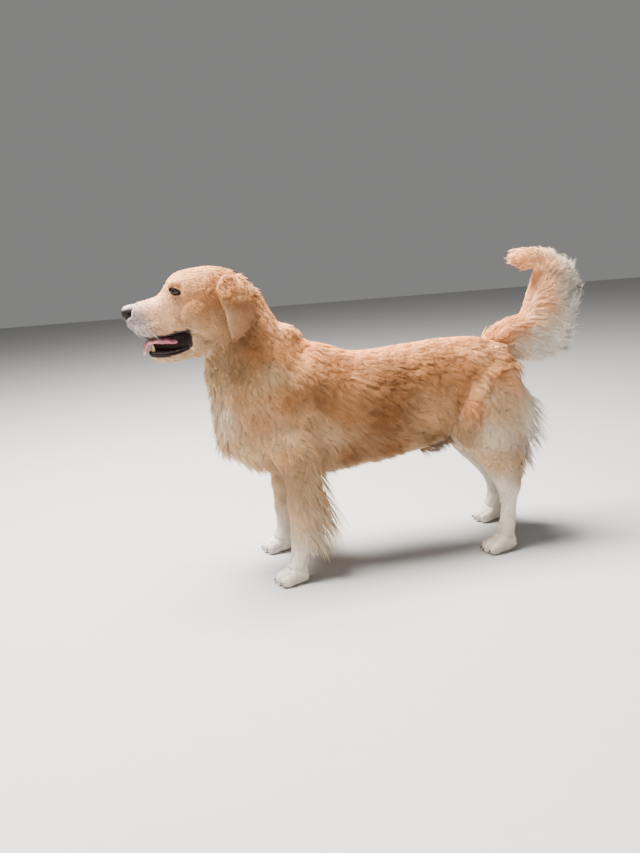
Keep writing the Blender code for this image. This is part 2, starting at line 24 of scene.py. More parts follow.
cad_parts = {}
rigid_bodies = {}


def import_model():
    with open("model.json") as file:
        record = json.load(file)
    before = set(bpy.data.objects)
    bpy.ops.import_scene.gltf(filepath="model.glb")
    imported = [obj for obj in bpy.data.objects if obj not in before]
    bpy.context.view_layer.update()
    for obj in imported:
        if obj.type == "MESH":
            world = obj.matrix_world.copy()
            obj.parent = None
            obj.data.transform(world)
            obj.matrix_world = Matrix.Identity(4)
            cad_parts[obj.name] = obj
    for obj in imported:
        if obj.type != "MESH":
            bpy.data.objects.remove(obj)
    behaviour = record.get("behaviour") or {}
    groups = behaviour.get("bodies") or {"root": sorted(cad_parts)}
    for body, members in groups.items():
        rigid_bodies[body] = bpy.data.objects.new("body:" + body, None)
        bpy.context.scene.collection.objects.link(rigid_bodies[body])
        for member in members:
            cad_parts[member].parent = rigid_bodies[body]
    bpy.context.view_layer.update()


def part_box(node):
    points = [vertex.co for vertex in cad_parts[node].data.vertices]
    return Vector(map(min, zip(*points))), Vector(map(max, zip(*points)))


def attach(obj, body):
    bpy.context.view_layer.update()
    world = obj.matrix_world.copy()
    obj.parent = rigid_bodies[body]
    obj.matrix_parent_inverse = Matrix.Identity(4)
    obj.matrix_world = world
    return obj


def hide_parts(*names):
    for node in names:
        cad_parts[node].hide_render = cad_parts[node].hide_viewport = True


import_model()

LOG = logging.getLogger("golden_retriever")
Array = np.ndarray
BMesh = bmesh.types.BMesh
Material = bpy.types.Material
Mesh = bpy.types.Mesh
Node = bpy.types.Node
Object = bpy.types.Object
Socket = bpy.types.NodeSocket
Point = tuple[float, float, float]
Place = tuple[float, float]
Colour = tuple[float, float, float]

# ---- driving dimensions -------------------------------------------------------------------------
NOSE_TIP_X = -0.3205  # tip of the nose in the working frame
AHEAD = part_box("nose")[0].x - NOSE_TIP_X  # from the working frame to the frame of the solids
STRIDE = 0.064  # how much further back the right hind paw stands
LEAN = 0.009  # how far the right foreleg leans forward above the pastern
EYE = Vector((-0.1945, 0.0395, 0.722))  # centre of the right eyeball
EYE_RADIUS = 0.0115
PAW_Y = 0.108  # from the middle plane to the middle of a paw
WIDEST = 0.153  # how far the coat reaches to either side
FLOOR_GAP = 0.0004  # between the tips of the coat and the floor
BAKE_MAP = "OFBake"
BAKE_PATCH = 0.003  # width of one tuft's patch on the unwrap


class Side(Enum):
    """Side of the dog, as the sign of Y."""

    LEFT = -1
    RIGHT = 1


class Fur(Enum):
    """Kind of tuft, with its number per square metre."""

    SHORT = 215000.0
    MEDIUM = 17500.0
    LONG = 26000.0

    @property
    def bed(self) -> str:
        """Name of the skin's attribute that says how densely it grows."""
        return "fur_" + self.name.lower()


class Tint(Enum):
    """Colours of the coat, linear; some are lit or shaded copies that paint light and shade."""

    GOLD = (0.48, 0.205, 0.075)
    # lit copy of the gold: painted top light along the back and the neck
    BRIGHT_GOLD = (0.86, 0.37, 0.135)
    AMBER = (0.64, 0.245, 0.07)
    # deeper gold: partly the coat's own tone, partly painted shade on the flank, the belly and under the ears
    DEEP_GOLD = (0.27, 0.115, 0.044)
    EAR_BROWN = (0.38, 0.175, 0.09)
    PALE_GOLD = (0.7, 0.375, 0.18)
    CREAM = (0.69, 0.455, 0.25)
    TAN = (0.44, 0.262, 0.138)
    WHITE = (0.84, 0.75, 0.63)
    PEARL = (0.91, 0.86, 0.78)
    PEACH = (0.9, 0.43, 0.19)
    # lit copy of the peach: painted light on the nape, the neck, the rump and the front of the tail
    BRIGHT_PEACH = (0.98, 0.5, 0.23)
    # painted shade on the neck under the ear and low on the belly
    UMBER = (0.24, 0.135, 0.062)
    STRAW = (0.88, 0.69, 0.49)
    BISQUE = (0.86, 0.46, 0.27)
    SILVER = (0.34, 0.305, 0.31)
    # painted shade on the tuft under the belly
    SMOKE = (0.22, 0.165, 0.12)


# ---- small helpers ------------------------------------------------------------------------------
def ease(low: float, high: float, x: Array | float) -> Array | float:
    """Smooth ramp from 0 at low to 1 at high, read at x."""
    t = np.clip((x - low) / (high - low), 0.0, 1.0)
    return t * t * (3 - 2 * t)


def unit(rows: Array) -> Array:
    """Rows of length 1."""
    return rows / np.maximum(np.linalg.norm(rows, axis=-1, keepdims=True), 1e-9)


def turns(count: int) -> Array:
    """Evenly spaced angles round a circle."""
    return np.arange(count) * 2 * math.pi / count


def glide(t: Array | float, gap: Array | float, ends: Sequence[Array], slopes: Sequence[Array]) -> Array:
    """Smooth curve between two values.

    Args:
        t: How far along, from 0 to 1.
        gap: Distance between the two.
        ends: The values.
        slopes: Their slopes.

    Returns:
        The curve at t.
    """
    start = (1 + 2 * t) * (1 - t) ** 2 * ends[0] + t * (1 - t) ** 2 * gap * slopes[0]
    end = t * t * (3 - 2 * t) * ends[1] + t * t * (t - 1) * gap * slopes[1]
    return start + end


def ripple(points: Array, wavelength: float, seed: int, waves: int = 6) -> Array:
    """Soft irregular field between about -1 and 1.

    Args:
        points: Places, one a row.
        wavelength: Distance between crests, in metres.
        seed: Picks the field.
        waves: Number of plane waves summed.

    Returns:
        One value for each place.
    """
    draw = np.random.default_rng(seed)
    total = np.zeros(len(points))
    for direction in unit(draw.normal(size=(waves, 3))):
        pace = 2 * math.pi / (wavelength * draw.uniform(0.7, 1.4))
        total += np.sin(points @ direction * pace + draw.uniform(0, 2 * math.pi))
    return total / math.sqrt(waves)


def new_object(name: str, mesh: Mesh) -> Object:
    """Adds an object to the scene.

    Args:
        name: Its name.
        mesh: Its mesh, or a lamp's or camera's data.

    Returns:
        The object.
    """
    obj = bpy.data.objects.new(name, mesh)
    bpy.context.scene.collection.objects.link(obj)
    return obj


def discard(obj: Object) -> None:
    """Removes a helper object."""
    bpy.data.objects.remove(obj)


def evaluated_mesh(obj: Object) -> Mesh:
    """The object's mesh with its modifiers.

    Args:
        obj: The object.

    Returns:
        A new mesh with all its attributes.
    """
    bpy.context.view_layer.update()
    graph = bpy.context.evaluated_depsgraph_get()
    shown = obj.evaluated_get(graph)
    return bpy.data.meshes.new_from_object(shown, preserve_all_data_layers=True, depsgraph=graph)


def mesh_from(bm: BMesh, name: str) -> Mesh:
    """Turns the work mesh into a mesh, and frees it.

    Args:
        bm: The work mesh.
        name: Name of the mesh.

    Returns:
        The mesh.
    """
    mesh = bpy.data.meshes.new(name)
    bm.to_mesh(mesh)
    bm.free()
    return mesh


def corners(mesh: Mesh) -> Array:
    """Places of the vertices.

    Args:
        mesh: The mesh.

    Returns:
        One place a row.
    """
    flat = np.empty(len(mesh.vertices) * 3)
    mesh.vertices.foreach_get("co", flat)
    return flat.reshape(-1, 3)


def corner_normals(mesh: Mesh) -> Array:
    """Normals at the vertices.

    Args:
        mesh: The mesh.

    Returns:
        One normal a row.
    """
    flat = np.empty(len(mesh.vertices) * 3, np.float32)
    mesh.vertex_normals.foreach_get("vector", flat)
    return flat.reshape(-1, 3).astype(float)


def put_corners(mesh: Mesh, places: Array) -> None:
    """Moves the vertices."""
    mesh.vertices.foreach_set("co", places.ravel())
    mesh.update()


def write_attribute(mesh: Mesh, name: str, values: Array) -> None:
    """Stores numbers on the mesh.

    Args:
        mesh: The mesh.
        name: Name of the attribute.
        values: One number or one row of three a vertex.
    """
    wide = values.ndim == 2
    attribute = mesh.attributes.new(name, "FLOAT_VECTOR" if wide else "FLOAT", "POINT")
    attribute.data.foreach_set("vector" if wide else "value", values.astype(np.float32).ravel())


def finish_piece(
    name: str,
    mesh: Mesh,
    material: Material,
    replaces: Sequence[str] = (),
    smooth_angle: float = 180.0,
) -> None:
    """Turns a mesh of the working frame into a finished piece that rides on the dog.

    Args:
        name: Name of the piece.
        mesh: Its mesh, in the working frame.
        material: Its finish.
        replaces: Solids that it stands for.
        smooth_angle: Edges sharper than this, in degrees, stay sharp.
    """
    mesh.transform(Matrix.Translation((AHEAD, 0, 0)))
    mesh.name = name
    mesh.materials.clear()
    mesh.materials.append(material)
    mesh.polygons.foreach_set("material_index", [0] * len(mesh.polygons))
    mesh.shade_smooth()
    if smooth_angle < 180:
        mesh.set_sharp_from_angle(angle=math.radians(smooth_angle))
    piece = new_object(name, mesh)
    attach(piece, "root")
    if replaces:
        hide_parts(*replaces)
    faces = sum(len(polygon.vertices) - 2 for polygon in mesh.polygons)
    LOG.info("%s: %d triangles", name, faces)


# ---- forms --------------------------------------------------------------------------------------
class Form(Protocol):
    """Anything that adds a closed surface to a mesh."""

    def add_to(self, bm: BMesh) -> None:
        """Adds the form's faces."""


@dataclass(frozen=True)
class Rib:
    """One cross-section of a loft.

    back and front are its two points (x, z) in side view, width its half width, y its place across the
    body, square its fullness (2 is an ellipse), and swell makes it wider towards back (+) or front (-).
    """

    back: Place
    front: Place
    width: float
    y: float = 0.0
    square: float = 2.1
    swell: float = 0.0

    def row(self) -> Array:
        """The rib's numbers."""
        return np.array([*self.back, *self.front, self.width, self.y, self.square, self.swell])


def ribs(*rows: tuple[float, ...]) -> list[Rib]:
    """Ribs from rows of numbers.

    Args:
        rows: Back x and z, front x and z, half width and y in millimetres, then fullness and swell.

    Returns:
        The ribs, in metres.
    """
    found = []
    for row in rows:
        bx, bz, fx, fz, *across = (value / 1000 for value in row[:6])
        found.append(Rib((bx, bz), (fx, fz), *across, *row[6:]))
    return found


@dataclass
class Loft:
    """A closed skin over ribs, with both ends domed."""

    ribs: Sequence[Rib]
    start_depth: float = 0.004
    end_depth: float = 0.004
    ring: int = 32
    span: int = 6

    def rows(self) -> Array:
        """The ribs' numbers on a smooth curve through all ribs.

        Returns:
            One rib a row.
        """
        rows = np.array([rib.row() for rib in self.ribs])
        middle = (rows[:, :2] + rows[:, 2:4]) / 2
        apart = np.linalg.norm(np.diff(middle, axis=0), axis=1) + 1e-4
        slope = np.gradient(rows, np.concatenate([[0], np.cumsum(apart)]), axis=0)
        out = []
        for i, gap in enumerate(apart):
            for t in np.arange(self.span) / self.span:
                out.append(glide(t, gap, rows[i : i + 2], slope[i : i + 2]))
        return np.array([*out, rows[-1]])

    def ring_points(self, row: Array) -> Array:
        """The points round one rib.

        Args:
            row: The rib's numbers.

        Returns:
            One point a row.
        """
        bx, bz, fx, fz, width, y, square, swell = row
        turn = turns(self.ring)
        up, side = np.sin(turn), np.cos(turn)
        up_shape = np.sign(up) * np.abs(up) ** (2 / square)
        side_shape = np.sign(side) * np.abs(side) ** (2 / square) * (1 + swell * up_shape)
        centre = np.array([(bx + fx) / 2, y, (bz + fz) / 2])
        arm = np.array([(bx - fx) / 2, 0, (bz - fz) / 2])
        return centre + np.outer(up_shape, arm) + np.outer(side_shape, [0, width, 0])

    def add_to(self, bm: BMesh) -> None:
        """Adds the lofted surface.

        Args:
            bm: Mesh to add to.
        """
        rings = [self.ring_points(row) for row in self.rows()]
        rings = dome(rings[0], rings[1], self.start_depth)[::-1] + rings
        rings += dome(rings[-1], rings[-2], self.end_depth)
        add_rings(bm, rings)

    def mesh(self, name: str) -> Mesh:
        """The surface as a mesh of its own."""
        return form_mesh(name, [self])


def dome(points: Array, inner: Array, depth: float, steps: int = 4) -> list[Array]:
    """Rings that round off an open end.

    Args:
        points: The last ring.
        inner: The ring before it.
        depth: How far the dome stands out.
        steps: Number of rings.

    Returns:
        The rings, outwards.
    """
    middle = points.mean(axis=0)
    way = unit(middle - inner.mean(axis=0))
    angles = [math.pi / 2 * i / (steps + 0.35) for i in range(1, steps + 1)]
    return [middle + (points - middle) * math.cos(a) + way * depth * math.sin(a) for a in angles]


def add_rings(bm: BMesh, rings: Sequence[Array], closed_ends: bool = True) -> None:
    """Skins rings of equal count, each closed in itself.

    Args:
        bm: Mesh to add to.
        rings: The rings.
        closed_ends: Whether both ends get a cap.
    """
    first = len(bm.faces)
    rows = [[bm.verts.new(point) for point in points] for points in rings]
    count = len(rows[0])
    for here, after in zip(rows, rows[1:]):
        for i in range(count):
            j = (i + 1) % count
            bm.faces.new((here[i], here[j], after[j], after[i]))
    if closed_ends:
        bm.faces.new(rows[0][::-1])
        bm.faces.new(rows[-1])
        bm.faces.ensure_lookup_table()
        bmesh.ops.recalc_face_normals(bm, faces=bm.faces[first:])


@dataclass(frozen=True)
class Ball:
    """An ellipsoid, pitched about Y and then turned about Z, in degrees."""

    centre: Point
    radii: Point
    pitch: float = 0.0
    yaw: float = 0.0
    fine: int = 24

    def add_to(self, bm: BMesh) -> None:
        """Adds the ellipsoid.

        Args:
            bm: Mesh to add to.
        """
        turn = Matrix.Rotation(math.radians(self.yaw), 4, "Z")
        turn = turn @ Matrix.Rotation(math.radians(self.pitch), 4, "Y")
        shape = Matrix.Translation(self.centre) @ turn @ Matrix.Diagonal((*self.radii, 1))
        across, along = self.fine, self.fine // 2 + 2
        bmesh.ops.create_uvsphere(bm, u_segments=across, v_segments=along, radius=1, matrix=shape)


def form_mesh(name: str, forms: Sequence[Form]) -> Mesh:
    """Several forms as one mesh.

    Args:
        name: Name of the mesh.
        forms: What to add.

    Returns:
        The mesh.
    """
    bm = bmesh.new()
    for form in forms:
        form.add_to(bm)
    return mesh_from(bm, name)


# ---- shader bench -------------------------------------------------------------------------------
class Bench:
    """Adds and links the nodes of one tree."""

    def __init__(self, tree: bpy.types.NodeTree) -> None:
        """Keeps the tree to work on."""
        self.tree = tree

    def node(self, kind: str, inputs: dict[str | int, object] | None = None, **settings: object) -> Node:
        """Adds a node.

        Args:
            kind: Its type.
            inputs: What its inputs get, by name or number.
            settings: Its properties.

        Returns:
            The node.
        """
        made = self.tree.nodes.new(kind)
        for key, value in settings.items():
            setattr(made, key, value)
        for key, value in (inputs or {}).items():
            socket = made.inputs[key] if isinstance(key, int) else self.socket(made, key)
            self.feed(socket, value)
        return made

    def feed(self, socket: Socket, value: object) -> None:
        """Links an output to the socket, or sets its value.

        Args:
            socket: The input.
            value: An output, or a plain value.
        """
        if isinstance(value, bpy.types.NodeSocket):
            self.tree.links.new(value, socket)
        else:
            socket.default_value = value

    def socket(self, node: Node, name: str) -> Socket:
        """The enabled input of that name."""
        return next(s for s in node.inputs if s.enabled and s.name == name)

    def result(self, node: Node) -> Socket:
        """The node's first enabled output."""
        return next(s for s in node.outputs if s.enabled)

    def maths(self, operation: str, *values: object) -> Socket:
        """A number worked out from others."""
        return self.node("ShaderNodeMath", dict(enumerate(values)), operation=operation).outputs[0]

    def times(self, first: object, second: object) -> Socket:
        """The product of two numbers."""
        return self.maths("MULTIPLY", first, second)

    def vector(self, operation: str, *values: object) -> Socket:
        """A vector (or its length) worked out from others."""
        return self.result(self.node("ShaderNodeVectorMath", dict(enumerate(values)), operation=operation))

    def scaled(self, vector: object, factor: object) -> Socket:
        """A vector times a number."""
        inputs = {0: vector, "Scale": factor}
        return self.node("ShaderNodeVectorMath", inputs, operation="SCALE").outputs[0]

    def joined(self, x: object, y: object, z: object) -> Socket:
        """A vector from three numbers."""
        return self.node("ShaderNodeCombineXYZ", {0: x, 1: y, 2: z}).outputs[0]

    def noise(self, place: object, scale: float, detail: float = 2.0) -> Socket:
        """Noise between 0 and 1."""
        return self.node("ShaderNodeTexNoise", {"Vector": place, "Scale": scale, "Detail": detail}).outputs[0]

    def cells(self, place: object, scale: float, feature: str = "F1") -> Node:
        """A pattern of cells."""
        return self.node("ShaderNodeTexVoronoi", {"Vector": place, "Scale": scale}, feature=feature)

    def ramp(self, value: object, low: float, high: float, start: object = 0.0, end: object = 1.0) -> Socket:
        """Smooth change from start to end as the value goes from low to high."""
        inputs = {"Value": value, "From Min": low, "From Max": high, "To Min": start, "To Max": end}
        return self.node("ShaderNodeMapRange", inputs, interpolation_type="SMOOTHSTEP").outputs[0]

    def mix(self, factor: object, start: object, end: object) -> Socket:
        """Mix of two colours.

        Args:
            factor: Share of the second.
            start: The first.
            end: The second.

        Returns:
            The mixed colour.
        """
        first, second = ((*c, 1.0) if isinstance(c, tuple) else c for c in (start, end))
        inputs = {"Factor": factor, "A": first, "B": second}
        return self.result(self.node("ShaderNodeMix", inputs, data_type="RGBA"))


@dataclass(frozen=True)
class Gloss:
    """The even parts of a finish, set on the shader itself."""

    roughness: float = 0.6
    specular: float = 0.3
    coat: float = 0.0
    coat_roughness: float = 0.1
    sheen: float = 0.0
    subsurface: float = 0.0
    depth: float = 0.004


class ShaderBench(Bench):
    """Bench of a material with one shader."""

    def __init__(self, name: str, gloss: Gloss) -> None:
        """Makes the material.

        Args:
            name: Its name.
            gloss: The even parts of its finish.
        """
        self.material = bpy.data.materials.new(name)
        self.material.use_nodes = True
        super().__init__(self.material.node_tree)
        self.shader = self.tree.nodes["Principled BSDF"]
        for socket, value in (
            ("Roughness", gloss.roughness), ("Specular IOR Level", gloss.specular),
            ("Coat Weight", gloss.coat), ("Coat Roughness", gloss.coat_roughness),
            ("Sheen Weight", gloss.sheen), ("Subsurface Weight", gloss.subsurface),
            ("Subsurface Scale", gloss.depth),
        ):
            self.shader.inputs[socket].default_value = value

    def place(self) -> Socket:
        """Object coordinates."""
        return self.node("ShaderNodeTexCoord").outputs["Object"]

    def row(self, name: str) -> Socket:
        """A vector attribute of the piece."""
        return self.node("ShaderNodeAttribute", attribute_name=name).outputs["Vector"]

    def number(self, name: str) -> Socket:
        """A number attribute of the piece."""
        return self.node("ShaderNodeAttribute", attribute_name=name).outputs["Fac"]

    def colour(self, value: object) -> None:
        """Gives the shader its colour."""
        self.feed(self.shader.inputs["Base Color"], value)

    def bump(self, height: object, distance: float, strength: float, facing: object = None) -> None:
        """Feeds a height into the shader's normal.

        Args:
            height: Height between 0 and 1.
            distance: What 1 means, in metres.
            strength: Share of it that shows.
            facing: Normal that the height stands on, if not the surface's own.
        """
        inputs = {"Strength": strength, "Distance": distance, "Height": height}
        if facing is not None:
            inputs["Normal"] = facing
        self.feed(self.shader.inputs["Normal"], self.node("ShaderNodeBump", inputs).outputs["Normal"])


# ---- finishes -----------------------------------------------------------------------------------
@dataclass(frozen=True)
class Finish:
    """A finish, made as a material."""

    name: str
    gloss: Gloss

    def paint(self, bench: ShaderBench) -> None:
        """Lays colour and grain on the material of the bench."""

    def build(self) -> Material:
        """The finished material.

        Returns:
            The material.
        """
        bench = ShaderBench(self.name, self.gloss)
        self.paint(bench)
        return bench.material


@dataclass(frozen=True)
class TuftFinish(Finish):
    """Hair of a tuft: its own colour, darker towards the root as painted shade, streaked along the strands.

    A strand is lit mostly as the body under it, so that the coat looks soft.
    """

    gloss: Gloss = Gloss(roughness=0.72, specular=0.1)
    painted_root_shade: float = 0.8
    spread: float = 0.16
    streaks: float = 5.0
    body_share: float = 0.5

    def paint(self, bench: ShaderBench) -> None:
        """Lays the hair's colour, painted shade at the root, streaks and soft light.

        Args:
            bench: The material's bench.
        """
        tint, tone = bench.row("tint"), bench.number("tone")
        along, across = bench.number("along"), bench.number("across")
        sideways = bench.maths("MULTIPLY_ADD", across, self.streaks, bench.times(tone, 91.0))
        streak = bench.noise(bench.joined(sideways, bench.times(along, 1.6), tone), 1.0, 3.0)
        # painted shade: the hair darkens towards the root of the tuft
        shade = bench.ramp(along, 0.0, 0.75, self.painted_root_shade, 1.04)
        lift = bench.maths("MULTIPLY_ADD", tone, self.spread, 1.0 - self.spread / 2)
        grain = bench.ramp(streak, 0.25, 0.75, 0.86, 1.12)
        level = bench.times(bench.times(shade, lift), grain)
        warm = bench.ramp(bench.noise(bench.joined(tone, tone, 3.0), 37.0, 0.0), 0.3, 0.7)
        toned = bench.vector("MULTIPLY", tint, bench.mix(warm, (1.03, 0.97, 0.9), (0.98, 1.03, 1.09)))
        bench.colour(bench.scaled(toned, level))
        own = bench.scaled(bench.node("ShaderNodeNewGeometry").outputs["Normal"], 1.0 - self.body_share)
        facing = bench.vector("ADD", own, bench.scaled(bench.row("up"), self.body_share))
        bench.bump(streak, 0.0006, 0.6, bench.vector("NORMALIZE", facing))


@dataclass(frozen=True)
class SkinFinish(Finish):
    """The skin: short flat fur as fine grain along the lie of the coat, bare dark flesh where it shows, which
    inside the mouth is painted shade.
    """

    name: str = "skin_fur"
    gloss: Gloss = Gloss(roughness=0.6, specular=0.25, sheen=0.08)
    cell: float = 140.0
    stretch: float = 0.88
    strands: float = 1500.0
    flecks: float = 230.0

    def paint(self, bench: ShaderBench) -> None:
        """Lays fur, dark flecks and bare flesh, which inside the mouth is painted shade.

        Args:
            bench: The material's bench.
        """
        place, lie, bare = bench.place(), bench.row("lie"), bench.number("bare")
        cells = bench.cells(place, self.cell)
        away = bench.vector("SUBTRACT", place, cells.outputs["Position"])
        run = bench.vector("DOT_PRODUCT", away, lie)
        flat = bench.vector("SUBTRACT", away, bench.scaled(lie, bench.times(run, self.stretch)))
        grain = bench.noise(bench.vector("ADD", flat, cells.outputs["Color"]), self.strands)
        clump = bench.noise(place, 160.0)
        dots = bench.ramp(bench.cells(place, self.flecks).outputs["Distance"], 0.16, 0.3, 1.0, 0.0)
        level = bench.times(bench.ramp(grain, 0.3, 0.7, 0.8, 1.12), bench.ramp(clump, 0.3, 0.7, 0.92, 1.06))
        fur = bench.scaled(bench.row("tint"), level)
        dotted = bench.mix(bench.times(dots, bench.number("speckle")), fur, (0.05, 0.035, 0.03))
        # near-black bare flesh: the lips' and lids' own black, and painted shade inside the mouth and its
        # gape
        flesh = bench.mix(bench.noise(place, 60.0), (0.012, 0.008, 0.008), (0.034, 0.018, 0.017))
        bench.colour(bench.mix(bare, dotted, flesh))
        bench.feed(bench.shader.inputs["Roughness"], bench.ramp(bare, 0.0, 1.0, 0.66, 0.3))
        bench.bump(bench.times(grain, bench.maths("SUBTRACT", 1.0, bare)), 0.0007, 0.7)


@dataclass(frozen=True)
class LeatherFinish(Finish):
    """Nose leather: cobbled, near black, moist, with a pale top that is dried skin and painted sky sheen."""

    name: str = "nose_cobbles"
    gloss: Gloss = Gloss(roughness=0.46, specular=0.22, coat=0.06, coat_roughness=0.3)
    cobbles: float = 900.0
    dried_and_sheen_from: float = 0.6835
    dried_and_sheen_to: float = 0.693
    dried_and_sheen: Colour = (0.5, 0.44, 0.5)

    def paint(self, bench: ShaderBench) -> None:
        """Lays cobbles with painted shade in their grooves, the pale top and the nostrils painted dark as
        shade.

        Args:
            bench: The material's bench.
        """
        place = bench.place()
        cobble = bench.cells(place, self.cobbles, "SMOOTH_F1").outputs["Distance"]
        dark = bench.mix(bench.noise(place, 120.0), (0.01, 0.007, 0.008), (0.026, 0.018, 0.02))
        height = bench.node("ShaderNodeSeparateXYZ", {0: place}).outputs["Z"]
        # pale top by height: partly dried skin, partly painted sky sheen
        top_dried_and_sheen = bench.mix(bench.ramp(height, self.dried_and_sheen_from, self.dried_and_sheen_to, 0.0, 0.95), dark, self.dried_and_sheen)
        # darker in the grooves between the cobbles: painted shade
        cobbled = bench.mix(bench.ramp(cobble, 0.3, 0.7), top_dried_and_sheen, (0.012, 0.009, 0.009))
        # nostrils painted near black: the shade in their openings
        bench.colour(bench.mix(bench.number("nostril"), cobbled, (0.004, 0.003, 0.003)))
        bench.bump(bench.maths("SUBTRACT", 1.0, cobble), 0.0004, 0.8)


@dataclass(frozen=True)
class LipFinish(Finish):
    """Lip and eyelid skin: black-brown, finely wrinkled, faintly wet."""

    name: str = "lip_skin"
    gloss: Gloss = Gloss(roughness=0.5, specular=0.28, coat=0.05, coat_roughness=0.3)
    dark: Colour = (0.016, 0.011, 0.011)
    light: Colour = (0.05, 0.032, 0.03)

    def paint(self, bench: ShaderBench) -> None:
        """Lays cloudy colour and wrinkles.

        Args:
            bench: The material's bench.
        """
        place = bench.place()
        bench.colour(bench.mix(bench.noise(place, 240.0, 3.0), self.dark, self.light))
        bench.bump(bench.noise(place, 700.0, 3.0), 0.0006, 0.7)


DULL = Gloss(roughness=0.6, specular=0.15)


@dataclass(frozen=True)
class TongueFinish(Finish):
    """Tongue: mauve pink with a fine velvet of papillae, darker towards the back as painted shade in the
    mouth, paler towards the hanging tip.
    """

    name: str = "tongue_velvet"
    gloss: Gloss = Gloss(roughness=0.38, specular=0.5, coat=0.2, coat_roughness=0.25, subsurface=0.15)
    rear: Colour = (0.44, 0.135, 0.175)
    tip: Colour = (0.72, 0.3, 0.3)

    def paint(self, bench: ShaderBench) -> None:
        """Lays the pink, darker towards the back as painted shade, and the velvet.

        Args:
            bench: The material's bench.
        """
        place = bench.place()
        # painted shade: the tongue keeps its darker colour in the mouth and fades paler only at the hanging
        # tip
        base = bench.mix(bench.ramp(bench.number("along"), 0.55, 0.95), self.rear, self.tip)
        cloud = bench.ramp(bench.noise(place, 150.0, 3.0), 0.35, 0.7, 0.0, 0.45)
        bench.colour(bench.mix(cloud, base, (0.36, 0.1, 0.13)))
        bench.bump(bench.noise(place, 1400.0, 1.0), 0.0005, 0.6)


@dataclass(frozen=True)
class EnamelFinish(Finish):
    """Tooth enamel, yellower at the gum."""

    name: str = "enamel"
    gloss: Gloss = Gloss(roughness=0.22, specular=0.5, coat=0.2, subsurface=0.05)
    gum_end: Colour = (0.42, 0.26, 0.09)
    tip: Colour = (0.7, 0.56, 0.3)

    def paint(self, bench: ShaderBench) -> None:
        """Lays the enamel and its stains.

        Args:
            bench: The material's bench.
        """
        stain = bench.noise(bench.place(), 400.0, 3.0)
        tooth = bench.mix(bench.number("along"), self.gum_end, self.tip)
        bench.colour(bench.mix(bench.ramp(stain, 0.45, 0.8, 0.0, 0.4), tooth, (0.5, 0.33, 0.13)))
        bench.bump(stain, 0.0002, 0.5)


@dataclass(frozen=True)
class HornFinish(Finish):
    """Claw horn: dark brown, streaked along its length."""

    name: str = "claw_horn"
    gloss: Gloss = Gloss(roughness=0.35, specular=0.5)
    dark: Colour = (0.03, 0.02, 0.016)
    light: Colour = (0.15, 0.1, 0.075)

    def paint(self, bench: ShaderBench) -> None:
        """Lays the streaks.

        Args:
            bench: The material's bench.
        """
        streak = bench.noise(bench.vector("MULTIPLY", bench.place(), (300.0, 1500.0, 1500.0)), 1.0, 3.0)
        bench.colour(bench.mix(bench.ramp(streak, 0.35, 0.75), self.dark, self.light))
        bench.bump(streak, 0.0002, 0.6)


@dataclass(frozen=True)
class PadFinish(Finish):
    """Paw pads: black, coarse with small cones."""

    name: str = "pad_leather"
    gloss: Gloss = Gloss(roughness=0.62, specular=0.35)

    def paint(self, bench: ShaderBench) -> None:
        """Lays the cones, with painted shade between them.

        Args:
            bench: The material's bench.
        """
        cone = bench.cells(bench.place(), 700.0).outputs["Distance"]
        # darker between the cones: painted shade in the creases
        bench.colour(bench.mix(cone, (0.06, 0.045, 0.042), (0.022, 0.017, 0.016)))
        bench.bump(bench.maths("SUBTRACT", 1.0, cone), 0.0006, 0.9)


@dataclass(frozen=True)
class EyeFinish(Finish):
    """Eyeball: pupil, brown iris with radial fibres, dark limbus, off-white beyond, under a clear coat."""

    gloss: Gloss = Gloss(roughness=0.2, specular=0.25, coat=0.45, coat_roughness=0.03)
    gaze: Point = (0.0, 0.0, 1.0)
    centre: Point = (0.0, 0.0, 0.0)
    pupil: float = 0.0038
    iris: float = 0.0102

    def paint(self, bench: ShaderBench) -> None:
        """Lays the rings of the eye round its gaze.

        Args:
            bench: The material's bench.
        """
        place = bench.vector("SUBTRACT", bench.place(), self.centre)
        run = bench.vector("DOT_PRODUCT", place, self.gaze)
        flat = bench.vector("SUBTRACT", place, bench.scaled(self.gaze, run))
        out = bench.vector("LENGTH", flat)
        fibres = bench.noise(bench.vector("NORMALIZE", flat), 9.0, 3.0)
        iris = bench.mix(bench.ramp(fibres, 0.3, 0.7), (0.011, 0.005, 0.003), (0.03, 0.012, 0.006))
        rim = bench.mix(bench.ramp(out, self.iris * 0.8, self.iris), iris, (0.01, 0.006, 0.005))
        eye = bench.mix(bench.ramp(out, self.pupil * 0.9, self.pupil * 1.15), (0.002, 0.002, 0.002), rim)
        white = bench.mix(bench.noise(place, 500.0), (0.05, 0.035, 0.03), (0.02, 0.013, 0.011))
        bench.colour(bench.mix(bench.ramp(out, self.iris, self.iris * 1.12), eye, white))


# ---- the skin -----------------------------------------------------------------------------------
def leg_lean(side: Side) -> float:
    """How far this foreleg leans forward above the pastern."""
    return LEAN if side is Side.RIGHT else 0.0


def leg_stride(side: Side, z: float) -> float:
    """How far this hind leg stands back at height z."""
    return float(STRIDE * ease(0.25, 0.07, z)) if side is Side.RIGHT else 0.0


def fore_paw(side: Side) -> "Paw":
    """The fore paw of this side."""
    return Paw(0.008, side.value * PAW_Y, 0.068)


def hind_paw(side: Side) -> "Paw":
    """The hind paw of this side."""
    return Paw(0.556 + 1.14 * leg_stride(side, 0.0), side.value * PAW_Y, 0.078)


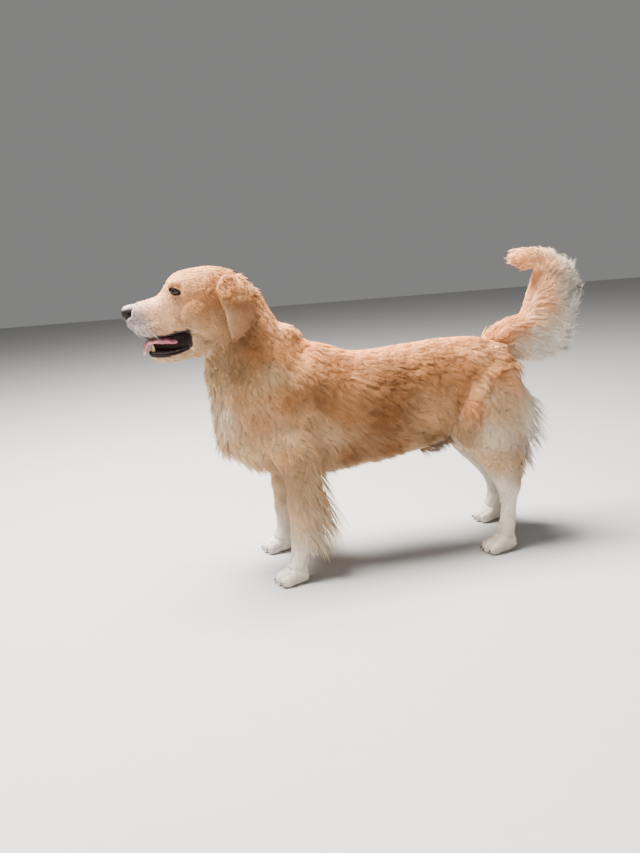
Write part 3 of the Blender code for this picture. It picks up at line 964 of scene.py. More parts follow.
@dataclass
class Paw:
    """Pad body and four arched toes."""

    ball_x: float
    y: float
    length: float
    toe_apart: float = 0.015
    toe_z: float = 0.0135
    splay: float = 5.0

    def toe_centres(self) -> list[tuple[float, Vector]]:
        """The four toes.

        Returns:
            How far across each toe lies, and its centre.
        """
        toe = self.ball_x - 0.22 * self.length
        found = []
        for across in (-1.5, -0.5, 0.5, 1.5):
            reach = 0.012 if abs(across) < 1 else 0.002
            y = self.y + across * self.toe_apart
            found.append((across, Vector((toe + 0.008 - reach, y, self.toe_z))))
        return found

    def forms(self) -> list[Form]:
        """The paw's surfaces, which reach a little below the floor.

        Returns:
            Its forms.
        """
        ball, y = self.ball_x, self.y
        heel, toe = ball + 0.6 * self.length, ball - 0.22 * self.length
        body = [
            Rib((heel - 0.003, 0.048), (heel - 0.001, 0.004), 0.019, y),
            Rib((ball + 0.02, 0.053), (ball + 0.022, -0.003), 0.025, y),
            Rib((ball, 0.041), (ball, -0.003), 0.028, y, square=2.4),
            Rib((toe, 0.025), (toe, -0.003), 0.0255, y, square=2.4),
        ]
        forms: list[Form] = [Loft(body, end_depth=0.003, ring=24)]
        for across, centre in self.toe_centres():
            yaw = -self.splay * across
            forms.append(Ball(tuple(centre), (0.0185, 0.0086, 0.0148), yaw=yaw))
            knuckle = centre + Vector((0.011, 0, 0.006))
            forms.append(Ball(tuple(knuckle), (0.013, 0.0082, 0.014), yaw=yaw))
        return forms


@dataclass
class Flesh:
    """The body under the coat, as lofts that are fused into one skin."""

    voxel: float = 0.0025
    smoothing: int = 7
    melting: int = 160
    faces: int = 150000
    keep: float = 0.85
    fine_factor: float = 2e-5
    sole_z: float = 0.0012

    def trunk(self) -> list[Form]:
        """Ribcage, loin and rump.

        Returns:
            Its forms.
        """
        rows = ribs(
            (-105, 490, -100, 330, 62),
            (-60, 545, -65, 300, 85),
            (0, 580, 0, 268, 98),
            (95, 580, 90, 255, 103),
            (220, 542, 210, 262, 108),
            (350, 545, 345, 277, 106),
            (460, 551, 450, 300, 94),
            (560, 545, 540, 345, 92),
            (615, 525, 600, 385, 82),
            (632, 500, 620, 420, 62),
        )
        sheath = Ball((0.432, 0.0, 0.283), (0.048, 0.013, 0.014), pitch=-14)
        return [Loft(rows, start_depth=0.022, end_depth=0.022), sheath]

    def neck(self) -> list[Form]:
        """Neck from the nape and throat down into the shoulders.

        Returns:
            Its forms.
        """
        rows = ribs(
            (-50, 747, -140, 592, 60),
            (-16, 717, -140, 566, 63),
            (10, 676, -140, 525, 70),
            (36, 634, -130, 470, 80),
            (75, 600, -122, 405, 88),
            (120, 570, -105, 345, 92),
        )
        ruff = Ball((0.046, 0.0, 0.606), (0.04, 0.048, 0.019), pitch=24)
        return [Loft(rows, end_depth=0.03), ruff]

    def head(self) -> list[Form]:
        """Skull, muzzle with its flews, cheeks and brows.

        Returns:
            Its forms.
        """
        rows = ribs(
            (-307.5, 689.5, -305.5, 643, 23.5, 0, 2.5),
            (-290, 699, -291, 629, 30, 0, 2.6),
            (-262, 706, -264, 618, 33, 0, 2.6, -0.12),
            (-236, 713.5, -238, 620, 35.5, 0, 2.6, -0.18),
            (-218, 733, -212, 626, 40, 0, 2.5, -0.24),
            (-204, 752, -188, 626, 46.5, 0, 2.5, -0.16),
            (-180, 764.5, -164, 609, 54.5, 0, 2.4, -0.02),
            (-145, 770, -140, 594, 59.5, 0, 2.3),
            (-104, 771, -116, 588, 61, 0, 2.3),
            (-66, 760, -85, 596, 58, 0, 2.2),
        )
        forms: list[Form] = [Loft(rows, start_depth=0.007, end_depth=0.02)]
        for side in Side:
            s = side.value
            forms += [
                Ball((-0.188, s * 0.0265, 0.7375), (0.025, 0.018, 0.014), yaw=-25 * s),
                Ball((-0.15, s * 0.037, 0.668), (0.042, 0.03, 0.045)),
                Ball((-0.262, s * 0.019, 0.641), (0.039, 0.017, 0.0245), pitch=8),
                Ball((-0.225, s * 0.029, 0.6445), (0.048, 0.0105, 0.023), pitch=-3),
                Ball((-0.19, s * 0.037, 0.653), (0.032, 0.011, 0.0245), pitch=-3),
                Ball((-0.162, s * 0.04, 0.606), (0.016, 0.009, 0.024), pitch=10),
            ]
        return forms

    def jaw(self) -> list[Form]:
        """Lower jaw, dropped open.

        Returns:
            Its forms.
        """
        rows = ribs(
            (-267, 588.5, -263, 570, 15.5, 0, 2.4),
            (-250, 589.5, -247, 561, 21.5, 0, 2.4),
            (-224, 587.5, -222, 558, 26.5, 0, 2.4),
            (-195, 590.5, -192, 562, 31.5, 0, 2.3),
            (-165, 602.5, -160, 566, 39, 0, 2.2),
            (-125, 625, -128, 574, 45),
        )
        return [Loft(rows, start_depth=0.005, end_depth=0.01)]

    def ear(self, side: Side) -> list[Form]:
        """Ear flap, hung from a broad fold beside the skull.

        Args:
            side: Which ear.

        Returns:
            Its forms.
        """
        s = side.value
        rows = ribs(
            (-40, 744, -90, 750, 6.2, s * 52),
            (-24, 722, -104, 729, 6.8, s * 64),
            (-19, 694, -102, 702, 6.2, s * 75),
            (-22, 664, -91, 668, 5.2, s * 82),
            (-31, 638, -88, 640, 4.6, s * 87),
            (-45, 618, -84, 614, 4.2, s * 89),
        )
        return [Loft(rows, start_depth=0.004, end_depth=0.015, ring=20, span=5)]

    def foreleg(self, side: Side) -> list[Form]:
        """Upper arm, forearm, pastern and paw.

        Args:
            side: Which leg.

        Returns:
            Its forms.
        """
        s = side.value
        column = []
        for z, front, back, width, out in (
            (0.415, -0.05, 0.105, 0.022, 0.07),
            (0.37, -0.03, 0.105, 0.031, 0.077),
            (0.32, -0.01, 0.098, 0.035, 0.084),
            (0.27, 0.012, 0.082, 0.033, 0.09),
            (0.2, 0.019, 0.068, 0.026, 0.098),
            (0.13, 0.02, 0.062, 0.022, 0.102),
            (0.095, 0.018, 0.06, 0.0225, 0.104),
            (0.07, 0.014, 0.057, 0.0215, 0.105),
            (0.044, 0.003, 0.051, 0.026, 0.106),
        ):
            x = -leg_lean(side) * ease(0.05, 0.16, z)
            column.append(Rib((x + front, z), (x + back, z), width, s * out))
        stopper = Ball((0.063, s * 0.103, 0.098), (0.008, 0.007, 0.011))
        return [Loft(column), stopper, *fore_paw(side).forms()]

    def hindleg(self, side: Side) -> list[Form]:
        """Thigh, second thigh, hock, rear pastern and paw.

        Args:
            side: Which leg.

        Returns:
            Its forms.
        """
        column = []
        for front, back, width, out in (
            ((0.495, 0.47), (0.622, 0.49), 0.042, 0.056),
            ((0.458, 0.4), (0.64, 0.435), 0.05, 0.064),
            ((0.455, 0.335), (0.655, 0.365), 0.052, 0.07),
            ((0.484, 0.288), (0.645, 0.305), 0.045, 0.077),
            ((0.513, 0.252), (0.636, 0.25), 0.037, 0.084),
            ((0.539, 0.216), (0.63, 0.202), 0.029, 0.092),
            ((0.558, 0.18), (0.626, 0.167), 0.0225, 0.098),
            ((0.572, 0.14), (0.615, 0.14), 0.019, 0.102),
            ((0.572, 0.09), (0.608, 0.09), 0.019, 0.105),
            ((0.56, 0.05), (0.603, 0.044), 0.023, 0.107),
        ):
            front, back = ((x + leg_stride(side, z), z) for x, z in (front, back))
            column.append(Rib(front, back, width, side.value * out))
        return [Loft(column), *hind_paw(side).forms()]

    def tail(self) -> list[Form]:
        """Tail under its plume: a root, then a thick bone edge with the body of the plume behind it.

        Returns:
            Its forms.
        """
        rows = ribs(
            (612, 494, 578, 552, 34),
            (642, 488, 602, 569, 35, 0, 2.1, -0.1),
            (688, 486, 636, 587, 34, 0, 2.1, -0.2),
            (742, 488, 677, 596, 33, 0, 2.1, -0.3),
            (795, 530, 694, 622, 31, 0, 2.1, -0.4),
            (818, 588, 704, 652, 30, 0, 2.1, -0.4),
            (824, 650, 714, 682, 29, 0, 2.1, -0.4),
            (804, 706, 722, 703, 28, 0, 2.1, -0.3),
            (762, 746, 716, 712, 26, 0, 2.1, -0.2),
            (712, 760, 694, 715, 24),
            (672, 759, 662, 728, 17),
        )
        return [Loft(rows, start_depth=0.012, end_depth=0.01, ring=40)]

    def melting_share(self, places: Array) -> Array:
        """Where thighs and shoulders melt into the trunk.

        Args:
            places: Places in the working frame.

        Returns:
            1 there, 0 elsewhere.
        """
        x, y, z = places.T
        out = ease(0.03, 0.05, np.abs(y))
        rump = ease(0.38, 0.43, x) * ease(0.64, 0.61, x) * ease(0.33, 0.39, z)
        shoulder = ease(-0.09, -0.06, x) * ease(0.15, 0.11, x) * ease(0.3, 0.34, z) * ease(0.66, 0.62, z)
        return out * np.maximum(rump, shoulder)

    def weigh(self, helper: Object, name: str, weights: Array) -> str:
        """Stores weights as a vertex group.

        Args:
            helper: The object that gets it.
            name: Its name.
            weights: One a vertex.

        Returns:
            Its name.
        """
        group = helper.vertex_groups.new(name=name)
        for index in np.flatnonzero(weights > 0):
            group.add([int(index)], float(weights[index]), "REPLACE")
        return group.name

    def build(self) -> Mesh:
        """The whole skin, fused, smoothed and thinned, with flat soles.

        Returns:
            Its mesh, in the working frame.
        """
        forms = self.trunk() + self.neck() + self.head() + self.jaw() + self.tail()
        for side in Side:
            forms += self.foreleg(side) + self.hindleg(side) + self.ear(side)
        helper = new_object("flesh", form_mesh("flesh", forms))
        fuse = helper.modifiers.new("fuse", "REMESH")
        fuse.mode = "VOXEL"
        fuse.voxel_size = self.voxel
        helper.data = evaluated_mesh(helper)
        helper.modifiers.clear()
        helper.modifiers.new("even", "SMOOTH").iterations = self.smoothing
        places = corners(helper.data)
        melt = helper.modifiers.new("melt", "SMOOTH")
        melt.iterations = self.melting
        melt.vertex_group = self.weigh(helper, "melting", self.melting_share(places))
        face = ease(-0.02, -0.1, places[:, 0]) * ease(0.52, 0.56, places[:, 2])
        paw = ease(0.12, 0.06, places[:, 2])
        fine = self.weigh(helper, "fine", self.keep * np.maximum(face, paw))
        thin = helper.modifiers.new("thin", "DECIMATE")
        thin.ratio = min(1.0, self.faces / (2 * len(helper.data.polygons)))
        thin.vertex_group = fine
        thin.invert_vertex_group = True
        thin.vertex_group_factor = self.fine_factor
        thin.use_collapse_triangulate = True
        mesh = evaluated_mesh(helper)
        discard(helper)
        places = corners(mesh)
        places[:, 2] = np.maximum(places[:, 2], self.sole_z)
        put_corners(mesh, places)
        return mesh


# ---- the comb chart -----------------------------------------------------------------------------
@dataclass(frozen=True)
class Comb:
    """How the coat lies at one place of the body.

    at is the place, with y as the distance from the middle plane. lie is the direction of the hair, with
    y outwards. reach is the length of a tuft in millimetres, lift its angle from the skin in degrees,
    wave the depth of its curl in millimetres, hang how far its tip sinks as a share of its length, and
    thick the number of tufts as a share of the usual.
    """

    fur: Fur
    tint: Tint
    at: Point
    lie: Point
    reach: float
    lift: float
    wave: float = 0.5
    hang: float = 0.0
    thick: float = 1.0


def comb_chart(*rows: tuple) -> tuple[Comb, ...]:
    """Reads the rows of the chart.

    Args:
        rows: Fur, tint, the three numbers of the place in millimetres, the three of the lie, reach and
            lift, and where they aren't the usual ones also wave, hang and thick.

    Returns:
        The combs.
    """
    return tuple(
        Comb(fur, tint, (x / 1000, y / 1000, z / 1000), (ahead, out, up), *rest)
        for fur, tint, x, y, z, ahead, out, up, *rest in rows
    )


# short names for the rows of the chart
S, M, L, T = Fur.SHORT, Fur.MEDIUM, Fur.LONG, Tint
CHART = comb_chart(
    # head
    (S, T.BISQUE, -300, 0, 697, 1, 0, 0.25, 4, 7),
    (S, T.BISQUE, -270, 0, 706, 1, 0.1, 0.25, 6, 7),
    (S, T.PEACH, -240, 0, 714, 1, 0.1, 0.4, 7, 7),
    (S, T.PEACH, -215, 0, 738, 0.7, 0.2, 0.8, 8, 12),
    (S, T.PEACH, -180, 0, 766, 1, 0.2, 0.3, 10, 12),
    (S, T.PEACH, -120, 0, 772, 1, 0.1, -0.05, 13, 12),
    (S, T.PEACH, -75, 0, 764, 0.9, 0.1, -0.45, 20, 14),
    (S, T.PEACH, -190, 34, 744, 0.9, 0.4, 0.25, 8, 14),
    (S, T.PEACH, -150, 45, 750, 1, 0.2, -0.1, 11, 12),
    (S, T.GOLD, -110, 52, 745, 0.8, 0.4, -0.5, 16, 16),
    (S, T.SILVER, -285, 26, 686, 1, 0.1, 0.05, 4, 7),
    (S, T.SILVER, -300, 24, 668, 1, 0.1, -0.1, 5, 7),
    (S, T.BISQUE, -255, 32, 685, 1, 0.1, 0.05, 6, 7),
    (S, T.SILVER, -292, 28, 650, 1, 0.2, -0.35, 4, 7),
    (S, T.SILVER, -275, 32, 655, 1, 0.1, -0.3, 5, 7),
    (S, T.SILVER, -272, 34, 632, 1, 0.1, -0.3, 5, 7),
    (S, T.BISQUE, -250, 35, 660, 1, 0.1, -0.2, 7, 7),
    (S, T.TAN, -245, 36, 632, 1, 0.1, -0.5, 7, 14),
    (S, T.BISQUE, -225, 36, 650, 1, 0.1, -0.2, 8, 7),
    (S, T.BISQUE, -225, 36, 690, 1, 0.2, -0.15, 7, 7),
    (S, T.PALE_GOLD, -205, 40, 703, 1, 0.3, -0.35, 7, 12),
    (S, T.GOLD, -170, 52, 700, 1, 0.1, -0.35, 10, 12),
    (S, T.PALE_GOLD, -190, 44, 650, 1, 0.1, -0.4, 10, 12),
    (S, T.CREAM, -165, 46, 625, 0.8, 0.1, -0.7, 11, 14),
    (S, T.GOLD, -140, 62, 675, 0.9, 0.1, -0.6, 13, 12),
    (S, T.PALE_GOLD, -125, 60, 630, 0.8, 0.1, -0.8, 16, 14),
    (S, T.CREAM, -140, 50, 595, 0.7, 0, -0.8, 18, 14),
    (S, T.CREAM, -262, 10, 566, 1, 0.1, -0.25, 8, 16),
    (S, T.CREAM, -220, 25, 565, 1, 0, -0.25, 10, 14),
    (S, T.CREAM, -180, 30, 565, 1, 0, -0.4, 14, 16),
    # ears
    (S, T.AMBER, -80, 66, 748, 0.3, 0.5, -0.8, 18, 10),
    (M, T.BRIGHT_PEACH, -45, 64, 742, 0.4, 0.4, -0.8, 26, 14, 3),
    (M, T.GOLD, -104, 74, 728, 0.4, 0.3, -0.9, 22, 18, 3),
    (M, T.GOLD, -102, 84, 702, 0.4, 0.1, -0.9, 22, 16, 3),
    (M, T.GOLD, -75, 82, 715, 0.4, 0.2, -0.9, 26, 14, 4),
    (M, T.GOLD, -30, 78, 712, 0.5, 0.1, -0.85, 26, 14, 3),
    (S, T.CREAM, -92, 90, 670, 0.2, 0, -1, 10, 7),
    (S, T.EAR_BROWN, -62, 90, 680, 0.3, 0, -1, 13, 8),
    (M, T.EAR_BROWN, -28, 86, 676, 0.5, 0, -0.9, 22, 12, 2),
    (S, T.CREAM, -92, 94, 640, 0.2, 0, -1, 8, 7),
    (S, T.EAR_BROWN, -65, 94, 645, 0.3, 0, -1, 10, 7),
    (S, T.EAR_BROWN, -38, 91, 642, 0.5, 0, -0.9, 14, 8),
    (S, T.EAR_BROWN, -68, 93, 606, 0.3, 0, -1, 9, 8),
    # neck
    (M, T.PEACH, -40, 0, 745, 0.9, 0.1, -0.5, 28, 18, 3),
    (M, T.BRIGHT_PEACH, -10, 0, 720, 0.7, 0.1, -0.7, 36, 22, 4),
    (M, T.PEACH, 20, 0, 680, 0.6, 0.1, -0.8, 36, 18, 3),
    (M, T.PEACH, 55, 0, 626, 0.9, 0.1, -0.2, 38, 16, 3),
    (M, T.BRIGHT_PEACH, -20, 56, 715, 0.6, 0.1, -0.8, 30, 16, 4),
    (M, T.BRIGHT_PEACH, 0, 62, 670, 0.5, 0.2, -0.85, 38, 18, 5),
    (M, T.PEACH, 30, 70, 630, 0.6, 0.1, -0.8, 42, 18, 5),
    # painted shade on the neck under the ear: the darker tints below it
    (S, T.DEEP_GOLD, -70, 62, 650, 0.3, 0.1, -1, 14, 8),
    (M, T.DEEP_GOLD, -50, 64, 610, 0.3, 0.1, -1, 26, 12, 3),
    (M, T.UMBER, -90, 62, 595, 0.3, 0.1, -1, 24, 12, 3),
    (M, T.TAN, -120, 50, 560, 0.2, 0.1, -1, 26, 10, 3),
    (M, T.CREAM, -145, 0, 570, 0.1, 0, -1, 24, 12, 3),
    (M, T.CREAM, -142, 20, 520, 0.1, 0.1, -1, 44, 28, 5),
    (M, T.UMBER, -80, 74, 550, 0.4, 0.1, -1, 38, 14, 4),
    (M, T.GOLD, -30, 78, 590, 0.5, 0.1, -0.9, 40, 15, 4),
    (M, T.BRIGHT_GOLD, 30, 85, 580, 0.6, 0.1, -0.75, 44, 15, 4),
    (M, T.BRIGHT_GOLD, 85, 60, 595, 0.8, 0.1, -0.5, 44, 16, 4),
    # chest
    (M, T.CREAM, -130, 0, 450, 0, 0, -1, 58, 31, 7),
    (M, T.STRAW, -120, 50, 440, 0, 0.1, -1, 54, 22, 5),
    (M, T.CREAM, -110, 0, 360, 0.2, 0, -1, 62, 32, 7, 0.1),
    (M, T.CREAM, -70, 0, 300, 0.6, 0, -0.8, 62, 30, 7, 0.1),
    (M, T.PALE_GOLD, -80, 70, 480, 0.3, 0.1, -0.95, 50, 20, 5),
    (M, T.PALE_GOLD, -40, 90, 420, 0.3, 0, -0.95, 48, 18, 4),
    (M, T.CREAM, -60, 80, 360, 0.3, 0, -0.95, 50, 18, 4),
    (M, T.CREAM, 0, 95, 525, 0.6, 0, -0.8, 46, 18, 5),
    (M, T.GOLD, 20, 98, 480, 0.6, 0, -0.8, 46, 18, 5),
    (M, T.PALE_GOLD, 60, 100, 430, 0.6, 0, -0.8, 44, 16, 5),
    (M, T.CREAM, 10, 100, 385, 0.4, 0, -0.9, 38, 14, 4),
    (M, T.DEEP_GOLD, 105, 100, 465, 0.7, 0, -0.7, 44, 14, 4),
    (M, T.CREAM, 120, 100, 385, 0.7, 0, -0.75, 46, 14, 5),
    (M, T.CREAM, 20, 0, 265, 0.9, 0, -0.4, 50, 22, 4, 0.15),
    # trunk
    # lit copies of the gold along the topline: painted top light
    (M, T.BRIGHT_GOLD, 130, 0, 575, 1, 0.2, -0.2, 38, 10, 2),
    (M, T.BRIGHT_GOLD, 220, 0, 545, 1, 0.2, 0, 34, 9, 1),
    (M, T.BRIGHT_GOLD, 350, 0, 547, 1, 0.1, 0, 32, 9, 1),
    (M, T.BRIGHT_GOLD, 480, 0, 550, 1, 0.1, -0.05, 32, 9, 1),
    (M, T.AMBER, 570, 0, 545, 1, 0.1, -0.15, 32, 9, 1),
    (M, T.GOLD, 150, 85, 520, 0.9, 0, -0.5, 42, 11, 3),
    (M, T.DEEP_GOLD, 290, 92, 480, 0.9, 0, -0.45, 42, 10, 4),
    (M, T.GOLD, 390, 85, 500, 0.9, 0, -0.4, 42, 10, 3),
    (M, T.GOLD, 140, 104, 420, 0.8, 0, -0.65, 50, 12, 6),
    (M, T.DEEP_GOLD, 250, 108, 410, 0.9, 0, -0.5, 50, 12, 6),
    (M, T.PALE_GOLD, 380, 104, 400, 0.9, 0, -0.5, 48, 12, 6),
    # darker tints low on the flank and the belly: partly painted shade
    (M, T.DEEP_GOLD, 160, 90, 310, 0.8, 0, -0.6, 54, 18, 5),
    (M, T.DEEP_GOLD, 270, 85, 300, 0.9, 0, -0.5, 52, 18, 5),
    (M, T.UMBER, 390, 80, 310, 0.9, 0, -0.45, 48, 18, 5),
    (M, T.CREAM, 120, 30, 258, 0.9, 0.1, -0.4, 50, 20, 4, 0.15),
    (M, T.CREAM, 240, 30, 266, 0.9, 0.1, -0.4, 50, 20, 4, 0.15),
    (M, T.CREAM, 350, 30, 280, 0.9, 0.1, -0.35, 40, 18, 4, 0.1),
    # painted shade: the tuft under the belly
    (M, T.SMOKE, 440, 0, 275, 0.8, 0, -0.5, 34, 30, 3, 0.2),
    # forelegs
    (M, T.PALE_GOLD, 10, 112, 330, 0.2, 0, -1, 26, 12, 2),
    (M, T.TAN, 50, 125, 290, 0.2, 0, -1, 20, 12, 2),
    # tan and cream down the forelegs: partly painted shade
    (S, T.TAN, 15, 95, 260, 0.1, 0, -1, 13, 10),
    (S, T.TAN, 45, 122, 230, 0.1, 0, -1, 14, 10),
    (S, T.CREAM, 20, 100, 170, 0, 0, -1, 11, 10),
    (S, T.CREAM, 42, 124, 160, 0, 0, -1, 11, 10),
    (S, T.WHITE, 18, 104, 100, -0.1, 0, -1, 10, 10),
    (S, T.WHITE, 45, 126, 90, 0, 0, -1, 10, 10),
    (M, T.CREAM, 50, 70, 280, 0.2, 0, -1, 18, 12, 2),
    (S, T.CREAM, 45, 72, 180, 0.1, 0, -1, 12, 10),
    (L, T.TAN, 95, 90, 315, 0.6, 0, -0.8, 50, 26, 5, 0.1),
    (L, T.CREAM, 85, 92, 275, 0.8, 0, -0.65, 86, 50, 5, 0.52),
    (L, T.CREAM, 73, 97, 235, 0.9, 0.1, -0.6, 112, 62, 6, 0.74),
    (L, T.STRAW, 67, 100, 190, 0.9, 0.1, -0.6, 108, 62, 6, 0.78),
    (L, T.STRAW, 61, 103, 145, 0.9, 0.1, -0.7, 84, 58, 5, 0.76),
    (L, T.STRAW, 58, 105, 105, 0.5, 0, -1, 38, 40, 3, 0.35),
    (S, T.WHITE, 55, 105, 75, 0.3, 0, -1, 16, 20),
    (S, T.PEARL, -2, 106, 45, -0.7, 0, -0.7, 6, 10),
    (S, T.PEARL, -18, 106, 22, -0.9, 0, -0.4, 5, 10),
    (S, T.WHITE, 20, 132, 30, -0.4, 0, -0.9, 6, 10),
    (S, T.WHITE, 20, 82, 30, -0.4, 0, -0.9, 6, 10),
    (S, T.WHITE, 50, 106, 25, 0.2, 0, -1, 12, 14),
    # hind legs
    (M, T.GOLD, 470, 85, 480, 0.9, 0, -0.5, 42, 11, 3),
    (M, T.GOLD, 560, 90, 480, 0.8, 0, -0.65, 40, 12, 4),
    (M, T.GOLD, 610, 70, 500, 0.8, 0, -0.7, 44, 20, 5),
    (M, T.GOLD, 480, 108, 400, 0.7, 0, -0.8, 42, 11, 5),
    (M, T.CREAM, 560, 112, 400, 0.7, 0, -0.8, 44, 16, 6),
    (M, T.BRIGHT_PEACH, 600, 95, 460, 0.7, 0, -0.8, 44, 16, 5),
    (M, T.TAN, 465, 110, 330, 0.6, 0, -0.85, 40, 12, 4),
    (M, T.STRAW, 540, 120, 320, 0.5, 0, -0.9, 36, 14, 4),
    (M, T.CREAM, 520, 118, 260, 0.5, 0, -0.95, 24, 12, 2),
    (M, T.CREAM, 570, 118, 250, 0.4, 0, -1, 22, 12, 2),
    (M, T.CREAM, 500, 40, 300, 0.5, 0, -0.9, 26, 12, 2),
    (M, T.WHITE, 560, 50, 260, 0.4, 0, -1, 22, 12, 2),
    (L, T.PALE_GOLD, 632, 60, 480, 0.6, 0, -0.85, 60, 24, 6, 0.1),
    (L, T.WHITE, 645, 60, 430, 0.6, 0, -0.85, 84, 34, 8, 0.1),
    (L, T.PEARL, 652, 60, 380, 0.6, 0, -0.9, 104, 44, 9, 0.12),
    (L, T.PEARL, 652, 65, 330, 0.5, 0, -0.95, 108, 50, 9, 0.16),
    (L, T.PEARL, 640, 80, 285, 0.5, 0, -0.95, 84, 46, 8, 0.16),
    (L, T.CREAM, 632, 86, 240, 0.4, 0, -1, 56, 38, 5, 0.15),
    (M, T.TAN, 630, 100, 300, 0.4, 0, -0.95, 40, 18, 4),
    (M, T.TAN, 610, 110, 250, 0.3, 0, -1, 24, 14, 2),
    (M, T.CREAM, 625, 93, 190, 0.2, 0, -1, 20, 14, 2),
    (S, T.WHITE, 565, 100, 170, 0.2, 0, -1, 10, 10),
    (S, T.WHITE, 595, 115, 160, 0.2, 0, -1, 11, 10),
    (S, T.WHITE, 590, 85, 130, 0, 0, -1, 10, 10),
    (S, T.WHITE, 575, 104, 100, -0.1, 0, -1, 10, 10),
    (S, T.WHITE, 608, 104, 100, 0.1, 0, -1, 13, 12),
    (S, T.WHITE, 560, 108, 50, -0.6, 0, -0.8, 6, 10),
    (S, T.WHITE, 535, 108, 25, -0.9, 0, -0.4, 5, 10),
    (S, T.WHITE, 570, 132, 30, -0.4, 0, -0.9, 6, 10),
    (S, T.WHITE, 570, 84, 30, -0.4, 0, -0.9, 6, 10),
    (S, T.WHITE, 600, 106, 28, 0.2, 0, -1, 12, 14),
    # tail
    (M, T.AMBER, 605, 5, 566, 0.9, 0, 0.45, 24, 12),
    (M, T.AMBER, 638, 5, 588, 0.9, 0, 0.35, 22, 14),
    (M, T.AMBER, 676, 5, 598, 0.8, 0, 0.5, 22, 14),
    (M, T.PEACH, 695, 5, 625, 0.3, 0, 0.95, 22, 10),
    (M, T.PEACH, 704, 5, 655, 0.4, 0, 0.9, 24, 10),
    (M, T.PEACH, 716, 5, 690, 0.3, 0, 0.95, 22, 8),
    (M, T.BRIGHT_PEACH, 692, 0, 722, -1, 0, -0.3, 28, 34, 2),
    (M, T.BRIGHT_PEACH, 660, 0, 742, -1, 0, 0, 26, 32, 2),
    (M, T.AMBER, 625, 34, 540, 0.9, 0, 0.15, 36, 12, 3),
    (L, T.AMBER, 668, 33, 565, 0.9, 0, 0.25, 42, 12, 4),
    # pale plume tints: the cream feathering, lightened further as painted backlight
    (L, T.STRAW, 650, 32, 515, 0.8, 0, -0.5, 46, 14, 6, 0.2),
    (L, T.PEARL, 680, 32, 530, 0.95, 0, -0.15, 58, 14, 7, 0.2),
    (L, T.STRAW, 705, 29, 570, 1, 0, 0.05, 60, 12, 7, 0.15),
    (L, T.PEARL, 725, 28, 535, 1, 0, -0.3, 64, 14, 9, 0.32),
    (L, T.PEARL, 765, 20, 535, 0.8, 0, -0.65, 60, 16, 9, 0.3),
    (L, T.BRIGHT_PEACH, 718, 28, 612, 0.9, 0, 0.3, 50, 12, 6),
    (L, T.PEARL, 765, 20, 595, 1, 0, 0, 62, 14, 9, 0.06),
    (L, T.BRIGHT_PEACH, 722, 27, 650, 0.8, 0, 0.6, 40, 12, 5),
    (L, T.PEARL, 762, 22, 645, 1, 0, 0.25, 54, 12, 8, -0.08),
    (L, T.PEARL, 800, 12, 640, 1, 0, 0.2, 56, 16, 9, -0.12),
    (L, T.BRIGHT_PEACH, 733, 24, 692, 0.5, 0, 0.85, 36, 10, 4),
    (L, T.STRAW, 768, 20, 688, 0.8, 0, 0.55, 44, 12, 7, -0.1),
    (L, T.PEARL, 800, 10, 685, 0.8, 0, 0.6, 48, 16, 7, -0.1),
    (L, T.PEACH, 735, 20, 724, -0.4, 0, 0.9, 28, 10, 3),
    (L, T.STRAW, 772, 10, 726, 0.3, 0, 0.95, 32, 14, 5),
    (L, T.BRIGHT_PEACH, 708, 22, 738, -0.9, 0, 0.35, 26, 10, 3),
    (L, T.BRIGHT_PEACH, 676, 18, 745, -1, 0, 0, 28, 26, 3),
    (L, T.STRAW, 750, 0, 752, -0.6, 0, 0.7, 24, 20, 3),
    (L, T.PEACH, 705, 0, 762, -1, 0, 0.1, 22, 22, 2),
    (L, T.PEARL, 790, 0, 728, -0.3, 0, 0.9, 30, 30, 4, 0, 2),
    (L, T.PEARL, 824, 0, 665, 0.1, 0, 1, 44, 38, 7, 0, 3),
    (L, T.PEARL, 820, 0, 600, 0.1, 0, 1, 54, 42, 9, 0.2, 3),
    (L, T.PEARL, 795, 0, 535, 0.6, 0, 0.75, 56, 44, 9, 0.4, 3),
    (L, T.PEARL, 742, 0, 490, 0.9, 0, -0.2, 52, 36, 9, 0.25),
    (L, T.PEARL, 690, 0, 487, 0.9, 0, -0.1, 44, 30, 6, 0.2),
    (L, T.STRAW, 645, 0, 490, 0.9, 0, -0.2, 36, 24, 5, 0.2),
)


